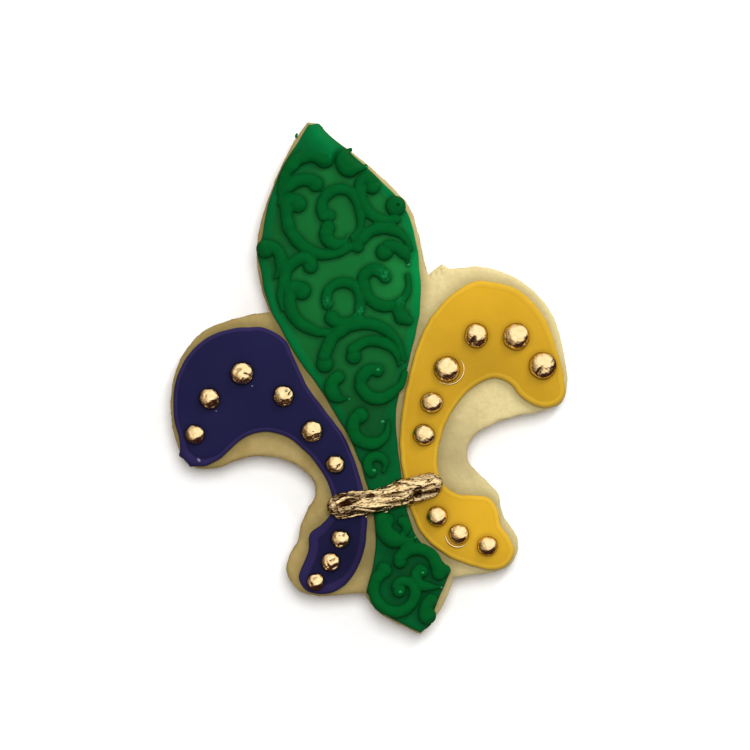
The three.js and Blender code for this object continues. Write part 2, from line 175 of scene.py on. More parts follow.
# The band's middle line, its half widths evenly along that, and its dents and lumps: x, y, half length,
# half width, direction in degrees, height.
BAND_PATH = [(-11.9, -25.1), (-7, -25.3), (-2, -25.6), (4, -25.1), (10.6, -24.4)]
BAND_HALF_WIDTHS = [2.4, 2.65, 2.75, 2.7, 2.6, 2.55, 2.55, 2.6, 2.75, 2.8, 2.8, 2.7, 2.5]
BAND_MARKS = [
    (-8.2, -24.6, 2.4, 0.6, 8, -0.9), (-9.6, -23.1, 1.6, 0.3, 25, -0.4), (0.8, -24.9, 2.0, 0.35, 0, -0.6),
    (1.4, -26.9, 1.8, 0.5, 0, -0.5), (6, -25.8, 1.3, 0.9, 60, -0.7), (3.1, -22.7, 1.7, 0.6, -8, 0.9),
    (-5, -28, 0.5, 0.3, 0, -0.4), (4.5, -27.5, 0.5, 0.3, 20, -0.4), (-11.2, -25.2, 0.35, 1.5, 0, -0.35),
    (-3.6, -24.2, 1.2, 0.3, -15, -0.4), (9.2, -23.6, 1.3, 0.22, 25, -0.35), (7.8, -26.3, 3.0, 0.6, 0, -0.6),
    (8.6, -24.9, 1.5, 0.25, 15, -0.35),
]

# Small things: x, y, size, slimness, tallness, direction in degrees.
PALE_CHIPS = [(-37.2, -9.9, 0.46, 0.6, 0.25, -50), (-23.2, 3.0, 0.16, 0.8, 0.08, 0),
              (-31.6, -0.6, 0.15, 0.8, 0.08, 0)]
GOLD_FLAKES = [(-1.2, -28.3, 0.55, 0.5, 0.15, 8), (-5.3, -28.4, 0.3, 0.7, 0.12, 40),
               (4.6, -27.9, 0.3, 0.6, 0.14, 15)]
STRAY_DROPS = [(-3.75, 52.4, 0.6, 0.5, 0.5, 65)]
STRAY_DROP_HEIGHT = 6.2
# Pulled-up points of icing on the green petal.
PEAKS = [(x, y, radius, 0.8, height, 0) for x, y, radius, height in (
    (8.5, 1.7, 0.3, 0.3), (3.2, 1.1, 0.33, 0.35), (-3.9, -3.7, 0.24, 0.3), (2, -9.7, 0.36, 0.3),
    (3.9, -42.2, 0.3, 0.3), (-1.5, -45.2, 0.33, 0.35), (7.1, -46, 0.24, 0.3), (3.9, -34.7, 0.24, 0.3),
    (9.2, 43.1, 0.21, 0.25), (7, 47.4, 0.21, 0.2), (13.8, 21.3, 0.3, 0.3), (-1.8, -19.3, 0.4, 0.5))]
# Thin runs of gold paint round a dot: middle x and y, radius, start and end in degrees, half width.
SMEAR_POINTS = 60
SMEARS = [(17.7, -1.7, 3.15, -150, 30, 0.23), (12.7, -35.9, 2.6, 165, 305, 0.3)]


# Sizes and colours that a user may change


def screen_colour(*parts):
    """A colour named as it looks on a screen, 0 to 255, as the light that Blender mixes."""
    shares = [part / 255 for part in parts]
    return tuple(share / 12.92 if share <= 0.04045 else ((share + 0.055) / 1.055) ** 2.4 for share in shares)


def tint(name, description, *parts):
    return bpy.props.FloatVectorProperty(
        name=name, description=description, subtype="COLOR", min=0, max=1, default=screen_colour(*parts))


def amount(name, description, default, unit="NONE"):
    return bpy.props.FloatProperty(name=name, description=description, min=0, default=default, unit=unit)


def length(name, description, millimetres):
    return amount(name, description, millimetres * MM, "LENGTH")


class DoughSettings(bpy.types.PropertyGroup):
    """The baked base."""

    step: length("Surface step", "Distance between the points of the surface that shows", 0.36)
    rounding: length("Edge rounding", "How far in from its outline the top edge is rounded", 1.1)
    drop: length("Edge drop", "How far the rounded edge falls below the top", 0.85)
    waves: length("Waves", "Height of the soft unevenness of the top", 0.07)
    grain: length("Grain", "Height of the fine crumb", 0.022)
    pale: tint("Pale dough", "The palest dough", 207, 192, 140)
    golden: tint("Golden dough", "Dough that has caught more heat", 147, 128, 79)
    browned: tint("Browned dough", "The lower edge and the underside", 160, 112, 52)
    # Painted shade: the dough beside the icing is darkened towards this colour.
    painted_shade_beside_icing_colour: tint("Painted shade by icing", "Dough that took up icing", 96, 88, 50)


class IcingSettings(bpy.types.PropertyGroup):
    """The flooded fields and the piping on them."""

    step: length("Surface step", "Distance between the points of the flooded fields", 0.36)
    voxel: length("Piping detail", "Size of the smallest detail of the piping", 0.19)
    purple_rim: tint("Purple rim", "The piped purple outline", 40, 34, 74)
    purple_flood: tint("Purple flood", "The flooded purple field", 25, 24, 57)
    green_rim: tint("Green rim", "The piped green outline", 0, 98, 46)
    green_scroll: tint("Green scrolls", "The piped scrolls", 0, 79, 30)
    green_flood: tint("Green flood", "The flooded green field", 14, 86, 37)
    green_scuff: tint("Green scuff", "Rough patches of the piping", 30, 135, 78)
    # Painted highlight: the peaks are paler than the green they are made of, standing in for their glints.
    green_peak_highlight: tint("Green peak", "Pulled-up points, paler as a painted highlight", 50, 155, 90)
    yellow_rim: tint("Yellow rim", "The piped yellow outline", 206, 164, 46)
    yellow_flood: tint("Yellow flood", "The flooded yellow field", 188, 145, 31)


class GoldSettings(bpy.types.PropertyGroup):
    """The dots and the band, which are painted with edible gold."""

    crumple: length("Crumple", "Height of the crumpled relief of a dot", 0.416)
    ridges: length("Ridges", "Height of the ridges along the band", 0.55)
    bright: tint("Bright gold", "The paint where it is thick", 252, 236, 196)
    deep: tint("Deep gold", "The paint where it is thin", 232, 200, 144)
    # Painted shade: the gold turns towards this colour in its dents and folds and on its lower sides, in
    # place of the dark room that it mirrors.
    hollow: tint("Hollow", "Painted shade deep in the folds and low on the gold", 62, 34, 18)


class StageSettings(bpy.types.PropertyGroup):
    """Camera, light and floor."""

    distance: length("Camera distance", "Height of the camera above the icing", 1200)
    width: length("View width", "Width of what the camera sees at the top of the icing", 156.4)
    turn: amount("Turn", "How far the cookie is turned in the picture", math.radians(11.5), "ROTATION")
    key: amount("Key light", "Strength of the soft box overhead", 8.4, "POWER")
    rake: amount("Raking light", "Strength of the low light at the right", 0.9, "POWER")
    sky: amount("Room light", "Strength of the light from the room", 0.43)
    floor: tint("Floor", "The surface that the cookie lies on", 249, 249, 249)


SETTINGS = {"cookie_dough": DoughSettings, "cookie_icing": IcingSettings, "cookie_gold": GoldSettings,
            "cookie_stage": StageSettings}


# Outlines and flat geometry, in millimetres

SAME_HEIGHT = 0.02
SAME_CORNER = 0.2
OUTLINE_STEP = 0.3
SETTLING_ROUNDS = 7
# Where an outline starts to be free to settle, counted from a corner, and where it is free.
FREE_FROM_CORNER = (0.3, 1.8)
# An arc has a corner every so many degrees, and a path this many points from corner to corner.
ARC_STEP = 30
SPAN_POINTS = 12
STRAND_STEP = 0.3
BAND_STEP = 0.1


def drawing_origin():
    """Where the drawing's origin lies in the frame."""
    low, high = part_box(KNOWN_DOT)
    middle = (low + high) / 2 / MM
    return np.array([middle.x, middle.y]) - KNOWN_DOT_PLACE


ORIGIN = drawing_origin()


def outline_of(node, height):
    """The corners of a node's outline at one height, in order and anticlockwise."""
    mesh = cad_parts[node].data
    neighbours = {}
    for edge in mesh.edges:
        ends = [mesh.vertices[i].co / MM for i in edge.vertices]
        first, second = [(round(end.x, 2), round(end.y, 2)) for end in ends]
        if first != second and all(abs(end.z - height) < SAME_HEIGHT for end in ends):
            neighbours.setdefault(first, set()).add(second)
            neighbours.setdefault(second, set()).add(first)
    if any(len(others) != 2 for others in neighbours.values()):
        raise RuntimeError(f"the outline of {node} at {height} mm isn't one simple loop")
    loop = [min(neighbours)]
    while len(loop) < len(neighbours):
        loop.append(next(point for point in neighbours[loop[-1]] if point not in loop[-2:]))
    loop = np.array(loop)
    ahead = np.roll(loop, -1, axis=0)
    turning = (loop[:, 0] * ahead[:, 1] - ahead[:, 0] * loop[:, 1]).sum()
    return loop if turning > 0 else loop[::-1]


def smooth_outline(node, height):
    """The node's outline as a dense loop that bends smoothly, except at its corners."""
    drawn = outline_of(node, height)
    ahead = np.roll(drawn, -1, axis=0) - drawn
    behind = np.roll(ahead, 1, axis=0)
    corners = [ORIGIN + corner for corner in CORNERS.get(node, [])]
    sharp = np.array([[any(np.linalg.norm(point - corner) < SAME_CORNER for corner in corners)]
                      for point in drawn])
    through = (ahead + behind) / 2
    leaving = np.where(sharp, ahead, through)
    arriving = np.roll(np.where(sharp, behind, through), -1, axis=0)
    spans = []
    for i, start in enumerate(drawn):
        end = drawn[(i + 1) % len(drawn)]
        count = max(2, round(np.linalg.norm(end - start) / OUTLINE_STEP))
        t = (np.arange(count) / count)[:, None]
        spans.append(
            (2 * t**3 - 3 * t**2 + 1) * start + (t**3 - 2 * t**2 + t) * leaving[i]
            + (3 * t**2 - 2 * t**3) * end + (t**3 - t**2) * arriving[i])
    loop = np.concatenate(spans)
    freedom = np.ones(len(loop))
    for corner in corners:
        freedom = np.minimum(freedom, eased(np.linalg.norm(loop - corner, axis=1), *FREE_FROM_CORNER))
    for _ in range(SETTLING_ROUNDS):
        middle = (np.roll(loop, 1, axis=0) + np.roll(loop, -1, axis=0)) / 2
        loop = loop + (middle - loop) * freedom[:, None] / 2
    for x, y, radius, distance in BULGES.get(node, []):
        loop = loop - inward(loop) * distance * bump(loop, x, y, radius)[:, None]
    return loop


def eased(value, start, end):
    """The value's place between start and end, from 0 to 1, with soft ends."""
    share = np.clip((value - start) / (end - start), 0, 1)
    return share * share * (3 - 2 * share)


def inward(loop):
    along = np.roll(loop, -1, axis=0) - np.roll(loop, 1, axis=0)
    along /= np.linalg.norm(along, axis=1, keepdims=True)
    return np.stack([-along[:, 1], along[:, 0]], axis=1)


def within(points, loop):
    """Which points lie inside the loop."""
    found = np.zeros(len(points), bool)
    for start, end in zip(loop, np.roll(loop, -1, axis=0)):
        if start[1] != end[1]:
            crossed = (start[1] > points[:, 1]) != (end[1] > points[:, 1])
            reach = start[0] + (points[:, 1] - start[1]) * (end[0] - start[0]) / (end[1] - start[1])
            found ^= crossed & (points[:, 0] < reach)
    return found


class Nearness:
    """Distances from points to a loop."""

    def __init__(self, loop, parts=3):
        ahead = np.roll(loop, -1, axis=0)
        dense = np.concatenate([loop * (1 - share) + ahead * share for share in np.arange(parts) / parts])
        self.loop = loop
        self.tree = kdtree.KDTree(len(dense))
        for i, (x, y) in enumerate(dense):
            self.tree.insert((x, y, 0), i)
        self.tree.balance()

    def distance(self, points):
        return np.array([self.tree.find((x, y, 0))[2] for x, y in points])

    def depth(self, points):
        """Distance to the loop, below zero outside it."""
        return np.where(within(points, self.loop), 1, -1) * self.distance(points)


def rows_inside(edge, distances):
    """Points in rows that follow the outline at each distance in from it."""
    rows = [(edge.loop + inward(edge.loop) * distance, distance) for distance in distances]
    return np.concatenate([row[edge.depth(row) > distance * 0.96] for row, distance in rows])


def triangular_grid(loop, step):
    """Points of an even triangular grid over the loop's box."""
    low, high = loop.min(axis=0), loop.max(axis=0)
    row = step * math.sqrt(3) / 2
    ys = np.arange(low[1], high[1] + row, row)
    xs = np.arange(low[0], high[0] + step, step)
    grid = [np.stack([xs + (i % 2) * step / 2, np.full(len(xs), y)], axis=1) for i, y in enumerate(ys)]
    return np.concatenate(grid)


def unevenness(points, size, seed, waves=14):
    """Soft unevenness of about plus and minus one, with bumps of the given size."""
    generator = np.random.default_rng(seed)
    directions = generator.normal(size=(waves, points.shape[1]))
    directions /= np.linalg.norm(directions, axis=1, keepdims=True)
    lengths = size * generator.uniform(0.7, 1.6, (waves, 1))
    phases = generator.uniform(0, math.tau, waves)
    return np.sin(math.tau * points @ (directions / lengths).T + phases).sum(axis=1) / math.sqrt(waves)


def bump(points, x, y, radius):
    """A round bell over a place of the drawing."""
    return np.exp(-((points - ORIGIN - (x, y)) ** 2).sum(axis=1) / radius**2)


def oval_bell(points, long, wide, direction, power=1.0):
    """A long bell over the origin, turned by a direction in degrees. Power flattens its top."""
    turn = math.radians(direction)
    along = (points[:, 0] * math.cos(turn) + points[:, 1] * math.sin(turn)) / long
    aside = (points[:, 1] * math.cos(turn) - points[:, 0] * math.sin(turn)) / wide
    return np.exp(-(along**2 + aside**2) ** power)


def tone_and_light_of(node, points):
    """How light a node's surface is at places of the frame, as a share of its middle tone."""
    return 1 + sum(change * bump(points, x, y, radius) for x, y, radius, change in TONES_AND_PAINTED_LIGHT[node])


def arc_corners(x, y, start_radius, start_angle, end_radius, end_angle):
    count = math.ceil(abs(end_angle - start_angle) / ARC_STEP) + 1
    angle = np.radians(np.linspace(start_angle, end_angle, count))
    radius = np.linspace(start_radius, end_radius, count)
    return np.column_stack([x + radius * np.cos(angle), y + radius * np.sin(angle)])


def chained(start, count):
    """Edges that join count points in a row, numbered from start."""
    return [(i, i + 1) for i in range(start, start + count - 1)]


def path_through(corners, step):
    """Evenly spaced points of a curve that bends smoothly through the corners, and each one's share of
    the way along it."""
    corners = np.asarray(corners, float)
    padded = np.concatenate([corners[:1], corners, corners[-1:]])
    t = (np.arange(SPAN_POINTS) / SPAN_POINTS)[:, None]
    spans = [
        0.5 * (2 * b + (c - a) * t + (2 * a - 5 * b + 4 * c - d) * t**2 + (3 * b - a - 3 * c + d) * t**3)
        for a, b, c, d in zip(padded, padded[1:], padded[2:], padded[3:])]
    dense = np.concatenate([*spans, corners[-1:]])
    run = np.concatenate([[0], np.cumsum(np.linalg.norm(np.diff(dense, axis=0), axis=1))])
    wanted = np.linspace(0, run[-1], max(2, round(run[-1] / step)) + 1)
    return np.column_stack([np.interp(wanted, run, dense[:, axis]) for axis in (0, 1)]), wanted / run[-1]


# Meshes


def placed(name, data):
    """A new object in the scene."""
    made = bpy.data.objects.new(name, data)
    bpy.context.scene.collection.objects.link(made)
    return made


def new_piece(name, points, faces, values=None, edges=()):
    """A smooth-shaded object from points in millimetres, which carry values."""
    mesh = bpy.data.meshes.new(name)
    mesh.from_pydata((np.asarray(points, float) * MM).tolist(), edges, faces)
    mesh.shade_smooth()
    mesh.update()
    piece = placed(name, mesh)
    set_values(piece, values or {})
    return piece


def set_values(piece, values):
    for name, numbers in values.items():
        layer = piece.data.attributes.new(name, "FLOAT", "POINT")
        layer.data.foreach_set("value", np.asarray(numbers, np.float32))


def triples(source, key):
    flat = np.zeros(len(source) * 3, np.float32)
    source.foreach_get(key, flat)
    return flat.reshape(-1, 3).astype(float)


def points_of(piece):
    return triples(piece.data.vertices, "co") / MM


def normals_of(piece):
    return triples(piece.data.vertex_normals, "vector")


def set_points(piece, points):
    piece.data.vertices.foreach_set("co", (points * MM).astype(np.float32).ravel())
    piece.data.update()


def settled(piece):
    """The piece with its modifiers made part of its mesh."""
    graph = bpy.context.evaluated_depsgraph_get()
    old = piece.data
    made = bpy.data.meshes.new_from_object(piece.evaluated_get(graph), depsgraph=graph)
    piece.modifiers.clear()
    piece.data = made
    bpy.data.meshes.remove(old)
    made.name = piece.name
    return piece


def finished(piece, material, slot, *replaced, points=None, **values):
    """Gives the piece its last shape and values, its finish, its body and the nodes that it stands for."""
    if points is not None:
        set_points(piece, points)
    set_values(piece, values)
    piece.data.materials.clear()
    piece.data.materials.append(material)
    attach(piece, BODY)
    if replaced:
        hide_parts(*replaced)


def nodes_named(start):
    return sorted(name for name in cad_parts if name.startswith(start))


def closed_slab(loop, wall, *caps):
    """A closed body with an upright wall of the given heights, from the bottom up. Its top and bottom caps
    are filled through inner points, whose heights a function gives."""
    count = len(loop)
    parts = [np.column_stack([loop, np.full(count, height)]) for height in wall]
    faces = []
    for level in range(0, (len(wall) - 1) * count, count):
        for i in range(count):
            here, beside = level + i, level + (i + 1) % count
            faces.append((here, beside, beside + count, here + count))
    outline = [(i, (i + 1) % count) for i in range(count)]
    offset = len(wall) * count
    for (inner, height), ring, order in zip(caps, (offset - count, 0), (1, -1)):
        places = [Vector(place) for place in np.concatenate([loop, inner])]
        _, _, triangles, sources, _, _ = delaunay_2d_cdt(places, outline, [], 1, 1e-6)
        for triangle in triangles:
            corners = [min(sources[i]) for i in triangle[::order]]
            faces.append([ring + i if i < count else offset + i - count for i in corners])
        parts.append(np.column_stack([inner, height(inner)]))
        offset += len(inner)
    return np.concatenate(parts), faces


# Materials


def add_node(tree, kind, inputs=None, **settings):
    node = tree.nodes.new(kind)
    for name, value in settings.items():
        setattr(node, name, value)
    for socket, value in (inputs or {}).items():
        if isinstance(value, bpy.types.NodeSocket):
            tree.links.new(value, node.inputs[socket])
        else:
            node.inputs[socket].default_value = value
    return node


def opaque(colour, share=1.0):
    """A colour, or a share of its light."""
    return (*[part * share for part in colour], 1)


def maths(operation, tree, *values, clamped=False):
    """The result of a Math node on two or three values or sockets."""
    inputs = dict(enumerate(values))
    return add_node(tree, "ShaderNodeMath", inputs, operation=operation, use_clamp=clamped).outputs["Value"]


times = functools.partial(maths, "MULTIPLY")
plus = functools.partial(maths, "ADD")
minus = functools.partial(maths, "SUBTRACT")


def blend(tree, share, first, second):
    """The first colour turning into the second as the share goes from 0 to 1. A Mix node's sockets 6, 7
    and 2 are its two colours and their mixture."""
    return add_node(tree, "ShaderNodeMix", {0: share, 6: first, 7: second}, data_type="RGBA").outputs[2]


def between(tree, value, start, end, low=0.0, high=1.0):
    """The value's place between start and end, eased, as low to high."""
    return add_node(tree, "ShaderNodeMapRange", {
        "Value": value, "From Min": start, "From Max": end, "To Min": low, "To Max": high},
        interpolation_type="SMOOTHSTEP").outputs["Result"]


def parts_of(tree, vector):
    return add_node(tree, "ShaderNodeSeparateXYZ", {"Vector": vector}).outputs


def noise(tree, size, detail, roughness, distortion=0.0, stretch=(1, 1, 1)):
    """Noise with bumps of a given size in metres, fixed to the object."""
    coordinates = add_node(tree, "ShaderNodeTexCoord").outputs["Object"]
    mapped = add_node(tree, "ShaderNodeMapping", {"Vector": coordinates, "Scale": stretch}).outputs["Vector"]
    return add_node(tree, "ShaderNodeTexNoise", {
        "Vector": mapped, "Scale": maths("DIVIDE", tree, 1.0, size), "Detail": detail,
        "Roughness": roughness, "Distortion": distortion}).outputs["Fac"]


def new_group(name, kind, inputs, outputs):
    """An empty group with named sockets, its inputs, and its output node's."""
    tree = bpy.data.node_groups.new(name, kind)
    for label, socket, default in inputs:
        socket = tree.interface.new_socket(label, in_out="INPUT", socket_type="NodeSocket" + socket)
        if default is not None:
            socket.default_value = default
    for label, socket in outputs:
        tree.interface.new_socket(label, in_out="OUTPUT", socket_type="NodeSocket" + socket)
    return tree, add_node(tree, "NodeGroupInput").outputs, add_node(tree, "NodeGroupOutput").inputs


@functools.cache
def mottling_group():
    """Two colours mixed in soft patches."""
    grey = (0.5, 0.5, 0.5, 1)
    tree, given, made = new_group("Mottling", "ShaderNodeTree", [
        ("Size", "Float", 0.004), ("Contrast", "Float", 1.0), ("First", "Color", grey),
        ("Second", "Color", grey)], [("Color", "Color"), ("Mask", "Float")])
    centred = minus(tree, noise(tree, given["Size"], 4, 0.6, 0.3), 0.5)
    mask = maths("MULTIPLY_ADD", tree, centred, given["Contrast"], 0.5, clamped=True)
    tree.links.new(blend(tree, mask, given["First"], given["Second"]), made["Color"])
    tree.links.new(mask, made["Mask"])
    return tree


@functools.cache
def relief_group():
    """The height, in metres, of fine relief: soft bumps with finer ones on them."""
    tree, given, made = new_group("Fine relief", "ShaderNodeTree", [
        ("Size", "Float", 0.001), ("Height", "Float", 0.0001), ("Roughness", "Float", 0.6)],
        [("Height", "Float")])
    bumps = noise(tree, given["Size"], 5, given["Roughness"])
    tree.links.new(times(tree, bumps, given["Height"]), made["Height"])
    return tree


def mottling(tree, inputs):
    return add_node(tree, "ShaderNodeGroup", inputs, node_tree=mottling_group()).outputs


def mottled(tree, first, second, size, contrast=2.0):
    return mottling(tree, {"First": first, "Second": second, "Size": size, "Contrast": contrast})["Color"]


def patches(tree, size, contrast):
    return mottling(tree, {"Size": size, "Contrast": contrast})["Mask"]


def relief(tree, size, height, roughness=0.6):
    inputs = {"Size": size, "Height": height, "Roughness": roughness}
    return add_node(tree, "ShaderNodeGroup", inputs, node_tree=relief_group()).outputs["Height"]


def dullness(tree, size, contrast, low, high):
    """Roughness that varies in patches from low to high."""
    return between(tree, patches(tree, size, contrast), 0.0, 1.0, low, high)


def value_of(tree, name):
    """A number that each point of the piece carries."""
    return add_node(tree, "ShaderNodeAttribute", attribute_name=name).outputs["Fac"]


def toned_and_lit(tree, colour):
    """The colour made lighter or darker by the surface's own tone."""
    return add_node(tree, "ShaderNodeVectorMath", {0: colour, "Scale": value_of(tree, "tone")},
                    operation="SCALE").outputs["Vector"]


def empty_tree(owner):
    """The node tree of a material or a world, without its first nodes."""
    owner.use_nodes = True
    owner.node_tree.nodes.clear()
    return owner.node_tree


def new_material(name, build):
    """A material whose build function gives the surface shader's inputs."""
    material = bpy.data.materials.new(name)
    tree = empty_tree(material)
    inputs = build(tree)
    relieved = add_node(
        tree, "ShaderNodeBump", {"Height": inputs.pop("Height"), "Distance": 1.0, "Strength": 1.0})
    inputs["Normal"] = relieved.outputs["Normal"]
    surface = add_node(tree, "ShaderNodeBsdfPrincipled", inputs)
    add_node(tree, "ShaderNodeOutputMaterial", {"Surface": surface.outputs["BSDF"]})
    return material


def dough_material(dough):
    def build(tree):
        place = parts_of(tree, add_node(tree, "ShaderNodeTexCoord").outputs["Object"])
        # Golden towards the left and in patches: partly uneven baking, partly painted shade where the light
        # falls off towards the left.
        baked = between(tree, place["X"], 30 * MM, -22 * MM)
        baked = plus(tree, baked, times(tree, patches(tree, 7 * MM, 2.5), 0.35))
        baked = minus(tree, baked, 0.2, clamped=True)
        colour = toned_and_lit(tree, blend(tree, baked, opaque(dough.pale), opaque(dough.golden)))
        crumb = times(tree, patches(tree, 0.7 * MM, 3.0), 0.16)
        colour = blend(tree, crumb, colour, opaque(dough.browned))
        # Painted shade on the dough beside the icing.
        colour = blend(tree, times(tree, value_of(tree, "stain"), 0.4), colour, opaque(dough.painted_shade_beside_icing_colour))
        low = between(tree, place["Z"], 2.6 * MM, 0.2 * MM, 0.0, 0.75)
        low = times(tree, low, plus(tree, patches(tree, 3 * MM, 2.0), 0.4), clamped=True)
        return {
            "Base Color": blend(tree, low, colour, opaque(dough.browned)),
            "Roughness": dullness(tree, 1.5 * MM, 1.5, 0.72, 0.92),
            "Specular IOR Level": 0.1,
            "Height": relief(tree, 0.5 * MM, 0.035 * MM, 0.6),
        }
    return new_material("baked_dough", build)


def icing_material(name, rim, flood, rim_share=1.0, groove_shade_share=0.3, patch=0.25, painted_shade_share=0.3,
                   gloss=0.06, rim_start=0.85):
    """Dried icing whose rim, piped first, is a little stronger in colour than the flooded field."""
    def build(tree):
        wobble = times(tree, minus(tree, patches(tree, 1.2 * MM, 1.5), 0.5), 0.12)
        share = plus(tree, value_of(tree, "rim_share"), wobble)
        field = mottled(tree, opaque(flood), opaque(flood, 1 - patch), 9 * MM)
        edge = mottled(tree, opaque(rim), opaque(rim, 0.86), 2.5 * MM)
        colour = blend(tree, between(tree, share, 1.1, rim_start, 0.0, rim_share), field, edge)
        # Painted shade: a darker line along the groove between the rim and the flood.
        line = maths("ABSOLUTE", tree, minus(tree, share, 1.0))
        line = between(tree, line, 0.22, 0.04, 0.0, groove_shade_share)
        colour = toned_and_lit(tree, blend(tree, line, colour, opaque(rim, 0.45)))
        # Painted shade: the icing is darkened close beside the strands and dots that stand on it.
        shelter = times(tree, value_of(tree, "shelter"), painted_shade_share)
        return {
            "Base Color": blend(tree, shelter, colour, opaque(flood, 0.3)),
            "Roughness": dullness(tree, 4 * MM, 1.5, 0.42, 0.54),
            "Specular IOR Level": gloss,
            "Height": relief(tree, 1.3 * MM, 0.02 * MM, 0.5),
        }
    return new_material(name, build)


def piping_material(icing):
    def build(tree):
        scroll = icing.green_scroll
        colour = mottled(tree, opaque(scroll), opaque(scroll, 0.8), 3 * MM)
        colour = blend(tree, value_of(tree, "scuff"), colour, opaque(icing.green_scuff))
        # Painted shade: the piping darkens towards its foot, where it meets the icing below, standing in for
        # the shade in the creases.
        foot = between(tree, value_of(tree, "height"), 0.75, 0.1, 0.0, 0.55)
        return {
            "Base Color": blend(tree, foot, colour, opaque(scroll, 0.3)),
            "Roughness": dullness(tree, 2 * MM, 1.5, 0.4, 0.52),
            "Specular IOR Level": 0.05,
            "Height": relief(tree, 0.8 * MM, 0.03 * MM, 0.6),
        }
    return new_material("piped_green_icing", build)


def gold_material(gold, name="edible_gold", fineness=0.018, streaks=0.0):
    """Edible gold, bright where it is thick and brown where it missed. Fineness is the height of its fine
    relief and streaks that of folds that run across the cookie, both in millimetres."""
    def build(tree):
        colour = mottled(tree, opaque(gold.bright), opaque(gold.deep), 0.9 * MM, 2.2)
        # Painted shade and painted reflection: dark brown where the gold would mirror the dark room.
        hollow = value_of(tree, "hollow")
        height = relief(tree, 0.6 * MM, fineness * MM, 0.4)
        if streaks:
            folds = noise(tree, 0.6 * MM, 2, 0.6, 0.5, (0.4, 1, 1))
            # The troughs of the folds get painted shade too.
            hollow = plus(tree, hollow, between(tree, folds, 0.47, 0.36, 0.0, 0.9), clamped=True)
            height = maths("MULTIPLY_ADD", tree, folds, streaks * MM, height)
        return {
            "Base Color": blend(tree, hollow, colour, opaque(gold.hollow)),
            "Metallic": 1.0,
            "Specular Tint": (0.6, 0.5, 0.4, 1),
            "Roughness": dullness(tree, 0.6 * MM, 2.0, 0.1, 0.22),
            "Height": height,
        }
    return bpy.data.materials.get(name) or new_material(name, build)


def plain_material(name, light, dark, size, roughness, gloss=0.25):
    """Sugar, crumbs and thin icing: two near colours in fine patches."""
    return new_material(name, lambda tree: {
        "Base Color": mottled(tree, opaque(light), opaque(dark), size),
        "Roughness": roughness,
        "Specular IOR Level": gloss,
        "Height": relief(tree, size, size * 0.05),
    })


# Geometry Nodes


def growth_tree(name, *inputs):
    """An empty geometry tree that takes points or edges, named sizes and a material."""
    return new_group(name, "GeometryNodeTree", [
        ("Geometry", "Geometry", None), *inputs, ("Material", "Material", None)], [("Geometry", "Geometry")])


def finish_tree(tree, given, made, geometry, **move):
    """Ends a tree: the geometry's copies become real, and its points move and take the material."""
    geometry = add_node(tree, "GeometryNodeRealizeInstances", {"Geometry": geometry}).outputs[0]
    geometry = add_node(tree, "GeometryNodeSetPosition", {"Geometry": geometry, **move}).outputs[0]
    inputs = {"Geometry": geometry, "Material": given["Material"]}
    tree.links.new(add_node(tree, "GeometryNodeSetMaterial", inputs).outputs[0], made["Geometry"])
    return tree


def point_value(tree, name):
    """A number that each point of the seed mesh carries."""
    return add_node(tree, "GeometryNodeInputNamedAttribute", {"Name": name}).outputs["Attribute"]


def vector_of(tree, **parts):
    return add_node(tree, "ShaderNodeCombineXYZ", parts).outputs["Vector"]


@functools.cache
def piping_tree():
    """Piped icing: a round strand along every edge, as thick as its points say, and a bead on every loose
    point, all pressed down towards the surface that they lie on."""
    tree, given, made = growth_tree(
        "Piped icing", ("Sides", "Int", 16), ("Press", "Float", 0.62), ("Surface", "Float", 0.0))
    size = point_value(tree, "size")
    curves = add_node(tree, "GeometryNodeMeshToCurve", {"Mesh": given["Geometry"]}).outputs[0]
    ring = add_node(tree, "GeometryNodeCurvePrimitiveCircle", {"Resolution": given["Sides"], "Radius": 1.0})
    sweep = add_node(tree, "GeometryNodeCurveToMesh", {
        "Curve": curves, "Profile Curve": ring.outputs["Curve"], "Scale": size, "Fill Caps": True})

    beside = add_node(tree, "GeometryNodeInputMeshVertexNeighbors").outputs["Vertex Count"]
    loose = add_node(tree, "FunctionNodeCompare", {2: beside, 3: 0}, data_type="INT", operation="EQUAL")
    spots = add_node(tree, "GeometryNodeMeshToPoints", {
        "Mesh": given["Geometry"], "Selection": loose.outputs["Result"]}).outputs[0]
    ball = add_node(tree, "GeometryNodeMeshUVSphere", {"Segments": 24, "Rings": 14, "Radius": 1.0})
    balls = add_node(tree, "GeometryNodeInstanceOnPoints", {
        "Points": spots, "Instance": ball.outputs["Mesh"], "Scale": size})

    joined = add_node(tree, "GeometryNodeJoinGeometry")
    for part in (sweep, balls):
        tree.links.new(part.outputs[0], joined.inputs["Geometry"])
    place = parts_of(tree, add_node(tree, "GeometryNodeInputPosition").outputs["Position"])
    above = minus(tree, place["Z"], given["Surface"])
    pressed = maths("MULTIPLY_ADD", tree, above, given["Press"], given["Surface"])
    return finish_tree(tree, given, made, joined.outputs["Geometry"], Position=vector_of(
        tree, X=place["X"], Y=place["Y"], Z=pressed))


